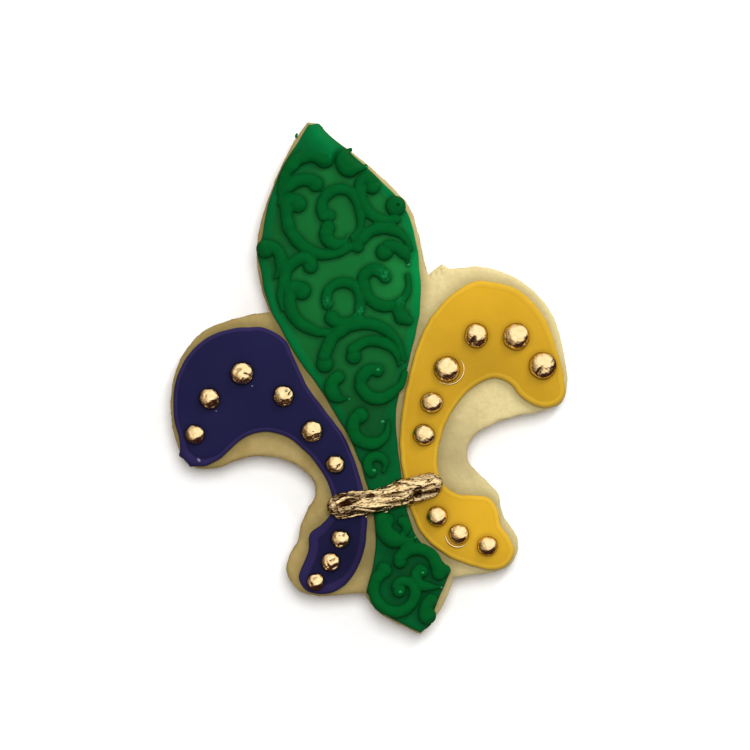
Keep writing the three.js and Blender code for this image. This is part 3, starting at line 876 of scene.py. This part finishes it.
def scatter_tree(name, shape, *inputs):
    """One shape on every point, sized and turned as the point says, with an uneven surface. The shape
    function makes it of unit size."""
    tree, given, made = growth_tree(name, ("Unevenness", "Float", 0.0001), ("Bump size", "Float", 0.001),
                                    ("Seed", "Float", 0.0), *inputs)
    across = point_value(tree, "size")
    stretch = vector_of(tree, X=across, Y=times(tree, across, point_value(tree, "slimness")),
                        Z=point_value(tree, "tallness"))
    copies = add_node(tree, "GeometryNodeInstanceOnPoints", {
        "Points": given["Geometry"], "Instance": shape(tree, given),
        "Rotation": vector_of(tree, Z=point_value(tree, "turn")), "Scale": stretch})
    bumps = add_node(tree, "ShaderNodeTexNoise", {
        "W": given["Seed"], "Scale": maths("DIVIDE", tree, 1.0, given["Bump size"]), "Detail": 3.0,
        "Roughness": 0.5}, noise_dimensions="4D").outputs["Fac"]
    height = times(tree, minus(tree, bumps, 0.5), given["Unevenness"])
    outwards = add_node(tree, "GeometryNodeInputNormal").outputs["Normal"]
    offset = add_node(tree, "ShaderNodeVectorMath", {"Vector": outwards, "Scale": height}, operation="SCALE")
    return finish_tree(tree, given, made, copies.outputs["Instances"], Offset=offset.outputs["Vector"])


def dome_shape(tree, given):
    """A ball whose lower half is nearly flat and whose top is a little flattened."""
    ball = add_node(tree, "GeometryNodeMeshUVSphere", {"Segments": 64, "Rings": 40, "Radius": 1.0})
    place = parts_of(tree, add_node(tree, "GeometryNodeInputPosition").outputs["Position"])
    upper = maths("POWER", tree, maths("MAXIMUM", tree, place["Z"], 0.0), given["Fullness"])
    lower = times(tree, maths("MINIMUM", tree, place["Z"], 0.0), 0.2)
    return add_node(tree, "GeometryNodeSetPosition", {
        "Geometry": ball.outputs["Mesh"],
        "Position": vector_of(tree, X=place["X"], Y=place["Y"], Z=plus(tree, upper, lower))}).outputs[0]


def crumb_shape(tree, given):
    return add_node(tree, "GeometryNodeMeshIcoSphere", {"Radius": 1.0, "Subdivisions": 4}).outputs["Mesh"]


def peak_shape(tree, given):
    """A soft cone that stands on a small round foot."""
    return add_node(tree, "GeometryNodeMeshCone", {
        "Vertices": 20, "Side Segments": 8, "Fill Segments": 2, "Radius Top": 0.12, "Radius Bottom": 1.0,
        "Depth": 1.0}).outputs["Mesh"]


def grown(name, points, values, tree, settings, material, edges=()):
    """A piece that a geometry tree makes from seed points in millimetres, each carrying its own values."""
    seed = new_piece(name, points, [], values, edges)
    modifier = seed.modifiers.new(tree.name, "NODES")
    modifier.node_group = tree
    settings = {**settings, "Material": material}
    for socket in tree.interface.items_tree:
        if socket.in_out == "INPUT" and socket.name in settings:
            modifier[socket.identifier] = settings[socket.name]
    return seed


# The pieces

BASE_TOP = 7.0
ICING_TOP = 8.25
# How far in from the outline the baked foot and the icing's foot and shoulder have which height.
BAKED_FOOT = ([0, 0.05, 0.15, 0.45, 1.0], [1.2, 0.8, 0.5, 0.12, 0])
ICING_FOOT = ([0, 0.02, 0.12, 0.35], [7.42, 7.25, 7.0, 6.8])
ICING_SHOULDER = ([0, 0.04, 0.12, 0.25, 0.42, 0.6], [7.5, 7.7, 7.89, 8.03, 8.13, 8.19])
EDGE_ROWS = (0.04, 0.12, 0.25, 0.42, 0.6, 0.85)
# At these heights the dough and the fields have the outlines that show.
BASE_OUTLINE = 0.8
FIELD_OUTLINE = 7.55
# How far inside a field's outline the dough under it is made of few points, and how many times wider than
# the surface's step the steps are there, on the cookie's underside and on a field's.
COVERED = 1.2
COVERED_STEP = 4
UNDERSIDE_STEP = 3.5
FIELD_UNDERSIDE_STEP = 6
RIM_TOP = 8.18
HOOD_RISE = 1.3
# How far from a strand or a dot the icing beside it gets painted shade.
PAINTED_SHADE_REACH = 0.55


def edge_drop(depth):
    """How far the baked top has fallen at a distance in from its outline."""
    dough = bpy.context.scene.cookie_dough
    share = np.clip(depth / (dough.rounding / MM), 0, 1)
    return dough.drop / MM * (1 - np.sqrt(1 - (1 - share) ** 2))


@functools.cache
def base_edge():
    """The baked outline and distances to it."""
    return Nearness(smooth_outline("cookie", BASE_OUTLINE))


def sunk(points):
    """How far the surface of the dough under these places lies below its middle."""
    return edge_drop(np.maximum(base_edge().depth(points[:, :2]), 0))


def inner_points(edge, rows, step, margin):
    """Points inside an outline: rows along it, then an even grid further in than the margin."""
    grid = triangular_grid(edge.loop, step)
    return np.concatenate([rows_inside(edge, rows), grid[edge.depth(grid) > margin]])


def bake_base(context):
    dough = context.scene.cookie_dough
    edge = base_edge()
    step = dough.step / MM
    fine = triangular_grid(edge.loop, step)
    fine = fine[edge.depth(fine) > EDGE_ROWS[-1] + step / 2]
    coarse = triangular_grid(edge.loop, COVERED_STEP * step)
    fields = [Nearness(smooth_outline(node, FIELD_OUTLINE)) for node in nodes_named("icing_")]
    for field in fields:
        hidden = field.depth(coarse) > COVERED + step
        fine = np.concatenate([fine[field.depth(fine) < COVERED], coarse[hidden]])
        coarse = coarse[~hidden]
    top = np.concatenate([rows_inside(edge, EDGE_ROWS), fine])
    under = inner_points(edge, BAKED_FOOT[0][1:], UNDERSIDE_STEP * step, BAKED_FOOT[0][-1] + step)
    wall = np.linspace(BAKED_FOOT[1][0], BASE_TOP - dough.drop / MM, 10)
    points, faces = closed_slab(
        edge.loop, wall, (top, lambda places: BASE_TOP - edge_drop(edge.distance(places))),
        (under, lambda places: np.interp(edge.distance(places), *BAKED_FOOT)))

    piece = new_piece("baked_base", points, faces)
    flat, heights = points[:, :2], points[:, 2]
    upper = np.clip((heights - 5) / 1.5, 0, 1)
    rise = unevenness(flat, 9, 11) * dough.waves / MM
    rise += dough.grain / MM * (unevenness(points, 1.6, 12) + unevenness(points, 0.75, 13))
    rise += 0.3 * bump(flat, 19.6, 19.0, 1.7) * unevenness(points, 0.9, 14)
    pits = np.maximum(unevenness(flat, 1.8, 15) - 0.9, 0) * 0.08
    rough = 0.08 * unevenness(points, 3.2, 16) + 0.04 * unevenness(points, 0.9, 17)
    sideways = normals_of(piece)[:, :2] * np.clip(heights / 0.8, 0, 1)[:, None]
    points[:, 2] += upper * rise + np.where(heights < 0.01, pits, 0)
    points[:, :2] += sideways * rough[:, None]
    # Painted shade: the top of the dough is darkened close to the icing's outlines, where shade falls
    # between the walls.
    stain = sum(np.exp(-(field.distance(flat) / 1.5) ** 2) for field in fields)
    finished(piece, dough_material(dough), "cookie", "cookie", points=points,
             stain=np.clip(stain, 0, 1.4) * upper, tone=tone_and_light_of("cookie", flat))


def purple_rim(places):
    """Width of the purple rim: narrow round the lobe, wider at the lobe's corner and down the foot,
    most of all on the foot's outer side."""
    foot = eased(places[:, 1], -14, -30)
    outer = eased(places[:, 0], -10, -16)
    return 0.9 + foot * (0.5 + 0.7 * outer) + 1.4 * np.exp(-((places - (-39.2, -9.4)) ** 2).sum(axis=1) / 12)


def green_rim(places):
    """Width of the green rim, which fills the tall petal's tip and nearly all of the stem."""
    up = places[:, 1]
    return 2.2 + 7 * eased(up, 42, 48) + 3 * eased(up, -6, -14) + 4 * eased(up, -24, -32)


def yellow_rim(places):
    return 0.95 + 0.3 * eased(places[:, 0], 18, 30)


def purple_lines(places, depth):
    """Fine parallel ridges along the inner side of the foot."""
    inner = eased(places[:, 0], -11, -8) * eased(places[:, 1], -14, -20)
    return 0.03 * inner * np.sin(depth / 0.62 * math.tau) * np.clip(2.9 - depth, 0, 1)


def green_lines(places, depth):
    """Fine parallel ridges along the rim, and the hood: a swelling between the tall petal's tip and its
    first scroll."""
    ridges = 0.035 * np.sin(depth / 0.72 * math.tau) * np.clip(2.6 - depth, 0, 1)
    across, up = places.T
    beyond_scroll = eased(np.hypot(across + 2.4, up - 42.4), 4.9, 5.6)
    beside_blob = eased((up - 45) * 0.515 - (across - 2.6) * 0.857, -0.3, 1.2)
    hood = beyond_scroll * beside_blob * eased(up, 42, 46)
    return ridges + HOOD_RISE * hood * eased(depth, -0.2, 2.6)


# Each field: width of its rim, lines on it, depth of the groove inside the rim, rise of the flood, seed of
# its unevenness, and what its material changes.
FIELDS = {
    "purple": (purple_rim, purple_lines, 0.1, 0.2, 201, {"groove_shade_share": 0.6, "patch": 0.12}),
    "green": (green_rim, green_lines, 0.03, 0.2, 211, {
        "groove_shade_share": 0.15, "patch": -0.25, "painted_shade_share": 0.5, "rim_start": 0.4}),
    "yellow": (yellow_rim, lambda places, depth: 0, 0.03, 0.5, 221, {
        "rim_share": 0.5, "groove_shade_share": 0.14, "patch": 0.08, "gloss": 0.15}),
}


def flood_field(context, hue, rim_width, lines, groove_depth, crown, seed, finish):
    """A field of icing: a piped rim, and inside it icing that was flooded in and has settled. It is darker
    close beside what stands on it."""
    icing = context.scene.cookie_icing
    node = f"icing_{hue}"
    loop = smooth_outline(node, FIELD_OUTLINE)
    loop -= inward(loop) * 0.05 * unevenness(loop, 4.5, seed + 2)[:, None]
    edge = Nearness(loop)
    step = icing.step / MM
    top = inner_points(edge, EDGE_ROWS, step, EDGE_ROWS[-1] + step / 2)
    under = inner_points(edge, ICING_FOOT[0][1:], FIELD_UNDERSIDE_STEP * step, 1.0)

    def surface(places):
        depth = edge.distance(places)
        width = rim_width(places - ORIGIN)
        bead = 0.03 * np.sin(np.pi * np.clip((depth - 0.4) / (width - 0.2), 0, 1))
        flood = RIM_TOP + crown * (1 - np.exp(-np.maximum(depth - width, 0) / 2.6))
        groove = groove_depth * np.exp(-((depth - width) / 0.24) ** 2)
        soft = 0.035 * unevenness(places, 7, seed) + 0.012 * unevenness(places, 2.2, seed + 1)
        height = np.where(depth < width, np.interp(depth, *ICING_SHOULDER) + bead, flood) - groove
        return height + lines(places - ORIGIN, depth) + soft

    points, faces = closed_slab(loop, (ICING_FOOT[1][0], ICING_SHOULDER[1][0]), (top, surface),
                                (under, lambda places: np.interp(edge.distance(places), *ICING_FOOT)))
    flat = points[:, :2]
    points[:, 2] -= sunk(points)
    # Painted shade beside the piping or the dots, less on the raised parts.
    gaps = np.full(len(points), np.inf)
    for x, y, radius in piping_spots() if hue == "green" else dot_spots():
        gaps = np.minimum(gaps, np.hypot(flat[:, 0] - x, flat[:, 1] - y) - radius)
    shelter = np.exp(-(np.maximum(gaps, 0) / PAINTED_SHADE_REACH) ** 2) * (1 - eased(points[:, 2], 8.75, 9.2))
    piece = new_piece(f"{hue}_field", points, faces, {
        "rim_share": np.maximum(edge.depth(flat), 0) / rim_width(flat - ORIGIN),
        "tone": tone_and_light_of(node, flat), "shelter": shelter})
    colours = getattr(icing, f"{hue}_rim"), getattr(icing, f"{hue}_flood")
    finished(piece, icing_material(f"dried_{hue}_icing", *colours, **finish), f"{hue}_icing", node)


def flood_fields(context):
    for hue, settings in FIELDS.items():
        flood_field(context, hue, *settings)


@functools.cache
def icing_surfaces():
    """The fields and the piping on them, for finding how high the icing is."""
    graph = bpy.context.evaluated_depsgraph_get()
    names = [*(f"{hue}_field" for hue in FIELDS), "piped_scrolls"]
    return [BVHTree.FromObject(bpy.data.objects[name], graph) for name in names]


def icing_height(x, y):
    """Height of the icing at a place of the frame."""
    start = Vector((x, y, 2 * ICING_TOP)) * MM
    hits = [surface.ray_cast(start, Vector((0, 0, -1)))[0] for surface in icing_surfaces()]
    return max([hit.z / MM for hit in hits if hit], default=BASE_TOP)


# Piped icing spreads sideways as it dries: its cross-section is PRESS times as high as it is wide, and
# its middle lies STRAND_LIFT radii above the surface before it is pressed.
PRESS = 0.62
STRAND_LIFT = 0.7
STRAND_SPREAD = 1.18
HEAD_SPREAD = 1.06
# A head's top lies HEAD_TOP above the surface, and HEAD_RISE radii more.
HEAD_TOP = 0.85
HEAD_RISE = 0.25
# The height of the surface that the piping is pressed to.
PIPED_ON = 8.35


@functools.cache
def piped_rows():
    """The path and the radii of every strand, in the frame."""
    rows = []
    for number, (radius, tail, *arcs) in enumerate(STROKES):
        path, share = path_through(np.concatenate([arc_corners(*arc) for arc in arcs]), STRAND_STEP)
        radii = radius + (tail - radius) * eased(share, 0.5, 1)
        if number in POINTED_STARTS:
            radii = POINTED_STARTS[number] + (1.35 * radii - POINTED_STARTS[number]) * eased(share, 0, 0.4)
        radii *= STRAND_SPREAD * (1 + 0.05 * unevenness(path, 3.5, 100 + number))
        rows.append((path + ORIGIN, radii))
    return rows


def piping_spots():
    """Round spots that together cover what the piping covers: x, y, radius, in the frame."""
    heads = np.array(HEADS) * (1, 1, HEAD_SPREAD) + (*ORIGIN, 0)
    return np.concatenate([*(np.column_stack(row) for row in piped_rows()), heads])


def pipe_scrolls(context):
    icing = context.scene.cookie_icing
    points, sizes, edges = [], [], []

    def add_points(places, radii, lifts):
        points.extend(np.column_stack([places, PIPED_ON + lifts]))
        sizes.extend(radii * MM)

    for path, radii in piped_rows():
        edges += chained(len(points), len(path))
        add_points(path, radii, STRAND_LIFT * radii)
        add_points(path[[0, -1]], radii[[0, -1]], STRAND_LIFT * radii[[0, -1]])
    places = np.array(HEADS)
    radii = HEAD_SPREAD * places[:, 2]
    add_points(places[:, :2] + ORIGIN, radii, (HEAD_TOP + HEAD_RISE * radii) / PRESS - radii)

    material = piping_material(icing)
    piece = grown("piped_scrolls", points, {"size": sizes}, piping_tree(), {
        "Sides": 20, "Press": PRESS, "Surface": PIPED_ON * MM}, material, edges)
    merge = piece.modifiers.new("Run together", "REMESH")
    merge.mode = "VOXEL"
    merge.voxel_size = icing.voxel
    soften = piece.modifiers.new("Settle", "SMOOTH")
    soften.factor = 0.5
    soften.iterations = 3
    settled(piece)

    points = points_of(piece)
    flat = points[:, :2]
    scuff = sum(bump(flat, x, y, radius) for x, y, radius in SCUFFS)
    uneven = 0.03 * unevenness(points, 2.2, 31) + 0.012 * unevenness(points, 0.9, 32)
    uneven += scuff * 0.04 * unevenness(points, 0.6, 33)
    points += normals_of(piece) * uneven[:, None]
    for x, y, radius, depth in PIPING_DENTS:
        points[:, 2] -= depth * bump(flat, x, y, radius)
    height = points[:, 2] - PIPED_ON
    points[:, 2] -= sunk(points)
    rough = scuff * (0.2 + 0.25 * unevenness(points, 0.8, 34))
    finished(piece, material, "green_icing", *nodes_named("scroll_"), points=points, height=height,
             scuff=np.clip(rough, 0, 1))


# How much wider than its node a dot is, how deep it sits in the icing, and how many radii from its middle
# every point is its own.
DOT_SPREAD = 1.04
DOT_SINK = 0.12
DOT_REACH = 1.3


def dot_of(node):
    """Middle and radius of the dot that stands for a node."""
    low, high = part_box(node)
    middle = np.array([low.x + high.x, low.y + high.y]) / 2 / MM
    return middle, max(high.x - low.x, high.y - low.y) / 2 / MM * DOT_SPREAD


def dot_spots():
    return [(*middle, radius) for middle, radius in map(dot_of, nodes_named("dot_"))]


def place_dots(context):
    gold = context.scene.cookie_gold
    nodes = nodes_named("dot_")
    spots = dot_spots()
    places = [(x, y, icing_height(x, y) - DOT_SINK) for x, y, _ in spots]
    radii = np.array(spots)[:, 2] * MM
    generator = np.random.default_rng(5)
    material = gold_material(gold)
    tree = scatter_tree("Golden dots", dome_shape, ("Fullness", "Float", 0.85))
    piece = settled(grown("gold_dots", places, {
        "size": radii,
        "turn": generator.uniform(0, math.tau, len(nodes)),
        "slimness": generator.uniform(0.94, 1.0, len(nodes)),
        "tallness": radii * generator.uniform(0.82, 0.92, len(nodes)),
    }, tree, {"Unevenness": gold.crumple, "Bump size": 1.7 * MM, "Seed": 3.0, "Fullness": 0.8}, material))
    points = points_of(piece)
    height = np.zeros(len(points))
    for (x, y, base), (_, _, radius) in zip(places, spots):
        own = np.hypot(points[:, 0] - x, points[:, 1] - y) < DOT_REACH * radius
        height[own] = (points[own, 2] - base) / radius
    # Painted shade and painted reflection: the lower part of each dot and its dents are darkened.
    hollow = 0.6 * eased(height, 0.5, 0.3)
    crinkle = 0.01 * unevenness(points, 0.75, 51) + 0.022 * unevenness(points, 1.4, 52)
    points += normals_of(piece) * crinkle[:, None]
    for node, (x, y, radius) in zip(nodes, spots):
        for across, up, long, wide, direction, depth in DOT_DENTS.get(node, []):
            dent = oval_bell((points[:, :2] - (x, y)) / radius - (across, up), long, wide, direction)
            points[:, 2] -= dent * depth * radius
            hollow += dent**2 * min(0.8, depth * 3)
    finished(piece, material, "gold_paint", *nodes, points=points, hollow=np.clip(hollow, 0, 1))


def foil_folds(along, across):
    """Long folds that run along the band and wander a little: from about -0.5 to 0.5."""
    generator = np.random.default_rng(40)
    wander = across + 0.16 * np.sin(along / 2.9 + 1) + 0.07 * np.sin(along / 1.1 + across * 2)
    folds = np.zeros(len(along))
    for count in (3.3, 5.1, 8.3, 13.1, 19.7):
        phase, start, spread = generator.uniform(0, math.tau, 3)
        strength = 0.6 + 0.4 * np.sin(along / (1.5 + spread / 2) + start)
        folds += strength * (0.36 - np.abs(np.sin(wander * count + phase + along / 6))) * (2.2 / count)
    return folds


def lay_band(context):
    gold = context.scene.cookie_gold
    path, share = path_through(BAND_PATH, BAND_STEP)
    widths = np.interp(share, np.linspace(0, 1, len(BAND_HALF_WIDTHS)), BAND_HALF_WIDTHS)
    to_end = np.minimum(share, 1 - share) * np.linalg.norm(np.diff(path, axis=0), axis=1).sum()
    widths *= np.sqrt(1 - (1 - np.clip(to_end / 1.1, 0.01, 1)) ** 2)
    seeds = np.column_stack([path + ORIGIN, ICING_TOP + 0.6 * widths])
    material = gold_material(gold, "gold_foil", 0.035, 0.26)
    piece = settled(grown("gold_band", seeds, {"size": widths * MM}, piping_tree(), {
        "Sides": 128, "Press": PRESS, "Surface": ICING_TOP * MM}, material,
        chained(0, len(path))))

    points = points_of(piece)
    flat = points[:, :2] - ORIGIN
    middle = np.interp(flat[:, 0], path[:, 0], path[:, 1])
    half = np.interp(flat[:, 0], path[:, 0], np.maximum(widths, 0.8))
    across = np.arctan2((flat[:, 1] - middle) / half, (points[:, 2] - ICING_TOP) / 1.7 + 0.05)
    folds = foil_folds(flat[:, 0], across)
    crinkle = 0.05 * unevenness(points, 1.6, 43) + 0.02 * unevenness(points, 0.6, 44)
    above = np.clip((points[:, 2] - ICING_TOP) / 0.6, 0, 1)
    above *= eased(np.minimum(flat[:, 0] - path[0, 0], path[-1, 0] - flat[:, 0]), -0.6, 1.2)
    height = above * (gold.ridges / MM * folds + crinkle)
    # Painted shade: the troughs of the folds, the band's lower edge and its dents are darkened.
    hollow = np.clip(-folds * 1.6 - 0.25, 0, 0.8) + 0.7 * eased(points[:, 2], ICING_TOP + 0.6, ICING_TOP)
    for x, y, long, wide, direction, lift in BAND_MARKS:
        mark = oval_bell(flat - (x, y), long, wide, direction, 1.5)
        height += above * mark * lift
        hollow += mark * max(0, -lift)
    points += normals_of(piece) * (0.6, 0.6, 1) * height[:, None]
    points[:, 2] -= sunk(points)
    finished(piece, material, "gold_paint", "band", points=points, hollow=np.clip(hollow, 0, 1))


def scatter(name, rows, tree, settings, material, slot, height=None):
    """Small things of one kind, on the icing or at one height."""
    rows = np.array(rows)
    flat = rows[:, :2] + ORIGIN
    places = [(x, y, height or icing_height(x, y)) for x, y in flat]
    finished(settled(grown(name, places, {
        "size": rows[:, 2] * MM, "slimness": rows[:, 3], "tallness": rows[:, 4] * MM,
        "turn": np.radians(rows[:, 5])}, tree, settings, material)), material, slot)


def add_details(context):
    icing = context.scene.cookie_icing
    crumbs = scatter_tree("Crumbs", crumb_shape)
    rough = {"Unevenness": 0.25 * MM, "Bump size": 0.5 * MM, "Seed": 7.0}
    fine = {"Unevenness": 0.06 * MM, "Bump size": 0.4 * MM, "Seed": 9.0}
    sugar = plain_material(
        "pale_sugar", screen_colour(135, 129, 152), screen_colour(90, 86, 110), 0.4 * MM, 0.6)
    gold = gold_material(context.scene.cookie_gold)
    green = plain_material("stray_green_icing", icing.green_scroll, icing.green_rim, 0.6 * MM, 0.5)
    # The peaks' pale colour is a painted highlight.
    thin = plain_material("thin_green_icing", icing.green_peak_highlight, icing.green_scuff, 0.3 * MM, 0.25, 0.5)
    scatter("sugar_chips", PALE_CHIPS, crumbs, rough, sugar, "purple_icing")
    scatter("gold_flakes", GOLD_FLAKES, crumbs, rough, gold, "gold_paint")
    scatter("stray_drop", STRAY_DROPS, crumbs, rough, green, "green_icing", STRAY_DROP_HEIGHT)
    scatter("icing_peaks", PEAKS, scatter_tree("Pulled peaks", peak_shape), fine, thin, "green_icing")

    points, sizes, edges = [], [], []
    for x, y, radius, start, end, half_width in SMEARS:
        share = np.linspace(0.03, 0.97, SMEAR_POINTS)
        angles = np.radians(start + (end - start) * share)
        path = ORIGIN + (x, y) + radius * np.column_stack([np.cos(angles), np.sin(angles)])
        edges += chained(len(points), len(path))
        points += [(*spot, icing_height(*spot)) for spot in path]
        sizes.extend(half_width * np.sin(np.pi * share) ** 0.6 * MM)
    finished(settled(grown("gold_smears", points, {"size": sizes}, piping_tree(), {
        "Sides": 12, "Press": 1.0, "Surface": 0.0}, gold, edges)), gold, "gold_paint")


# The stage

LOOK_AT = (2.0, 0.21)
SENSOR_WIDTH = 36.0
FLOOR_GAP = 0.02 * MM
FLOOR_REACH = 3
# What the gold mirrors, from the dark side of the room to the bright one: place on the ramp, colour.
ROOM = ((0.3, (0.1, 0.065, 0.04)), (0.5, (0.34, 0.25, 0.17)), (0.66, (0.82, 0.7, 0.54)),
        (0.84, (1.28, 1.2, 1.06)))
DARK_CORNER = (0.045, 0.018, 0.018)


def set_world(stage, right, up):
    """A plain room: even light, and for what is mirrored a bright side, a dim side and a dark corner."""
    world = bpy.data.worlds.new("Soft room")
    world.cycles.sampling_method = "NONE"
    tree = empty_tree(world)
    direction = add_node(tree, "ShaderNodeTexCoord").outputs["Generated"]

    def facing(sideways, upwards, above):
        side = (right * sideways + up * upwards + Vector((0, 0, above))).normalized()
        return add_node(
            tree, "ShaderNodeVectorMath", {0: direction, 1: side}, operation="DOT_PRODUCT").outputs["Value"]

    bright = maths("MULTIPLY_ADD", tree, facing(0.45, 0.45, 0.75), 0.5, 0.5)
    ramp = add_node(tree, "ShaderNodeValToRGB", {"Fac": bright})
    stops = ramp.color_ramp.elements
    while len(stops) < len(ROOM):
        stops.new(0.5)
    for stop, (place, colour) in zip(stops, ROOM):
        stop.position = place
        stop.color = opaque(colour)
    corner = between(tree, facing(0.3, -0.8, -0.4), 0.02, 0.38)
    mirrored = blend(tree, corner, ramp.outputs["Color"], opaque(DARK_CORNER))
    path = add_node(tree, "ShaderNodeLightPath").outputs
    seen = blend(tree, path["Is Glossy Ray"], opaque((stage.sky,) * 3), mirrored)
    seen = blend(tree, path["Is Camera Ray"], seen, (1, 1, 1, 1))
    background = add_node(tree, "ShaderNodeBackground", {"Color": seen})
    add_node(tree, "ShaderNodeOutputWorld", {"Surface": background.outputs["Background"]})
    bpy.context.scene.world = world


def soft_box(name, power, size, target, offset):
    """A square soft light that the shiny pieces don't mirror."""
    light = bpy.data.lights.new(name, "AREA")
    light.size = size
    light.energy = power
    box = placed(name, light)
    box.visible_glossy = False
    box.location = target + offset
    box.rotation_euler = (target - box.location).to_track_quat("-Z", "Y").to_euler()


def set_stage(context):
    scene = context.scene
    stage = scene.cookie_stage
    right = Vector((math.cos(stage.turn), -math.sin(stage.turn), 0))
    up = Vector((math.sin(stage.turn), math.cos(stage.turn), 0))
    target = Vector((*LOOK_AT, ICING_TOP)) * MM

    camera_data = bpy.data.cameras.new("Camera")
    camera_data.sensor_width = SENSOR_WIDTH
    camera_data.lens = SENSOR_WIDTH * stage.distance / stage.width
    scene.camera = placed("Camera", camera_data)
    scene.camera.location = target + Vector((0, 0, stage.distance))
    scene.camera.rotation_euler = (0, 0, -stage.turn)
    soft_box("Key", stage.key, 0.5, target, right * 0.05 + up * 0.25 + Vector((0, 0, 1)))
    soft_box("Rake", stage.rake, 0.15, target, right * 0.22 + up * 0.34 + Vector((0, 0, 0.26)))

    corners = [(-1, -1), (1, -1), (1, 1), (-1, 1)]
    mesh = bpy.data.meshes.new("floor")
    mesh.from_pydata([(x * FLOOR_REACH, y * FLOOR_REACH, -FLOOR_GAP) for x, y in corners], [], [range(4)])
    floor = placed("floor", mesh)
    floor.visible_glossy = False
    dimmer = [part * 0.985 for part in stage.floor]
    mesh.materials.append(plain_material("pale_floor", stage.floor, dimmer, 50 * MM, 0.9, 0.0))

    set_world(stage, right, up)
    scene.view_settings.view_transform = "Standard"
    scene.view_settings.look = "None"


# Operators and panel


class CookieOperator(bpy.types.Operator):
    """Shared by the operators below: one function makes the pieces."""

    bl_options = {"REGISTER", "UNDO"}

    def execute(self, context):
        self.make(context)
        return {"FINISHED"}


class COOKIE_OT_stage(CookieOperator):
    """Sets the camera, the light and the floor"""

    bl_idname = "cookie.stage"
    bl_label = "Set the stage"
    make = staticmethod(set_stage)


class COOKIE_OT_base(CookieOperator):
    """Bakes the base"""

    bl_idname = "cookie.base"
    bl_label = "Bake the base"
    make = staticmethod(bake_base)


class COOKIE_OT_fields(CookieOperator):
    """Floods the three fields of icing"""

    bl_idname = "cookie.fields"
    bl_label = "Flood the fields"
    make = staticmethod(flood_fields)


class COOKIE_OT_scrolls(CookieOperator):
    """Pipes the green scrolls"""

    bl_idname = "cookie.scrolls"
    bl_label = "Pipe the scrolls"
    make = staticmethod(pipe_scrolls)


class COOKIE_OT_dots(CookieOperator):
    """Places the golden dots"""

    bl_idname = "cookie.dots"
    bl_label = "Place the dots"
    make = staticmethod(place_dots)


class COOKIE_OT_band(CookieOperator):
    """Lays the golden band round the waist"""

    bl_idname = "cookie.band"
    bl_label = "Lay the band"
    make = staticmethod(lay_band)


class COOKIE_OT_details(CookieOperator):
    """Adds the peaks, chips, flakes, smears and the stray drop"""

    bl_idname = "cookie.details"
    bl_label = "Add the small details"
    make = staticmethod(add_details)


OPERATORS = (COOKIE_OT_stage, COOKIE_OT_base, COOKIE_OT_fields, COOKIE_OT_scrolls, COOKIE_OT_dots,
             COOKIE_OT_band, COOKIE_OT_details)


class COOKIE_PT_panel(bpy.types.Panel):
    """Lists the steps and their sizes and colours"""

    bl_idname = "COOKIE_PT_panel"
    bl_label = "Iced cookie"
    bl_space_type = "VIEW_3D"
    bl_region_type = "UI"
    bl_category = "Cookie"

    def draw(self, context):
        for operator in OPERATORS:
            self.layout.operator(operator.bl_idname)
        for name, settings in SETTINGS.items():
            column = self.layout.column(heading=settings.__doc__)
            for label in settings.__annotations__:
                column.prop(getattr(context.scene, name), label)


CLASSES = (*SETTINGS.values(), *OPERATORS, COOKIE_PT_panel)


def register():
    for shown in CLASSES:
        bpy.utils.register_class(shown)
    for name, settings in SETTINGS.items():
        setattr(bpy.types.Scene, name, bpy.props.PointerProperty(type=settings))


def unregister():
    for name in SETTINGS:
        delattr(bpy.types.Scene, name)
    for shown in reversed(CLASSES):
        bpy.utils.unregister_class(shown)


def main():
    register()
    for operator in OPERATORS:
        group, name = operator.bl_idname.split(".")
        getattr(getattr(bpy.ops, group), name)()


if __name__ == "__main__":
    main()
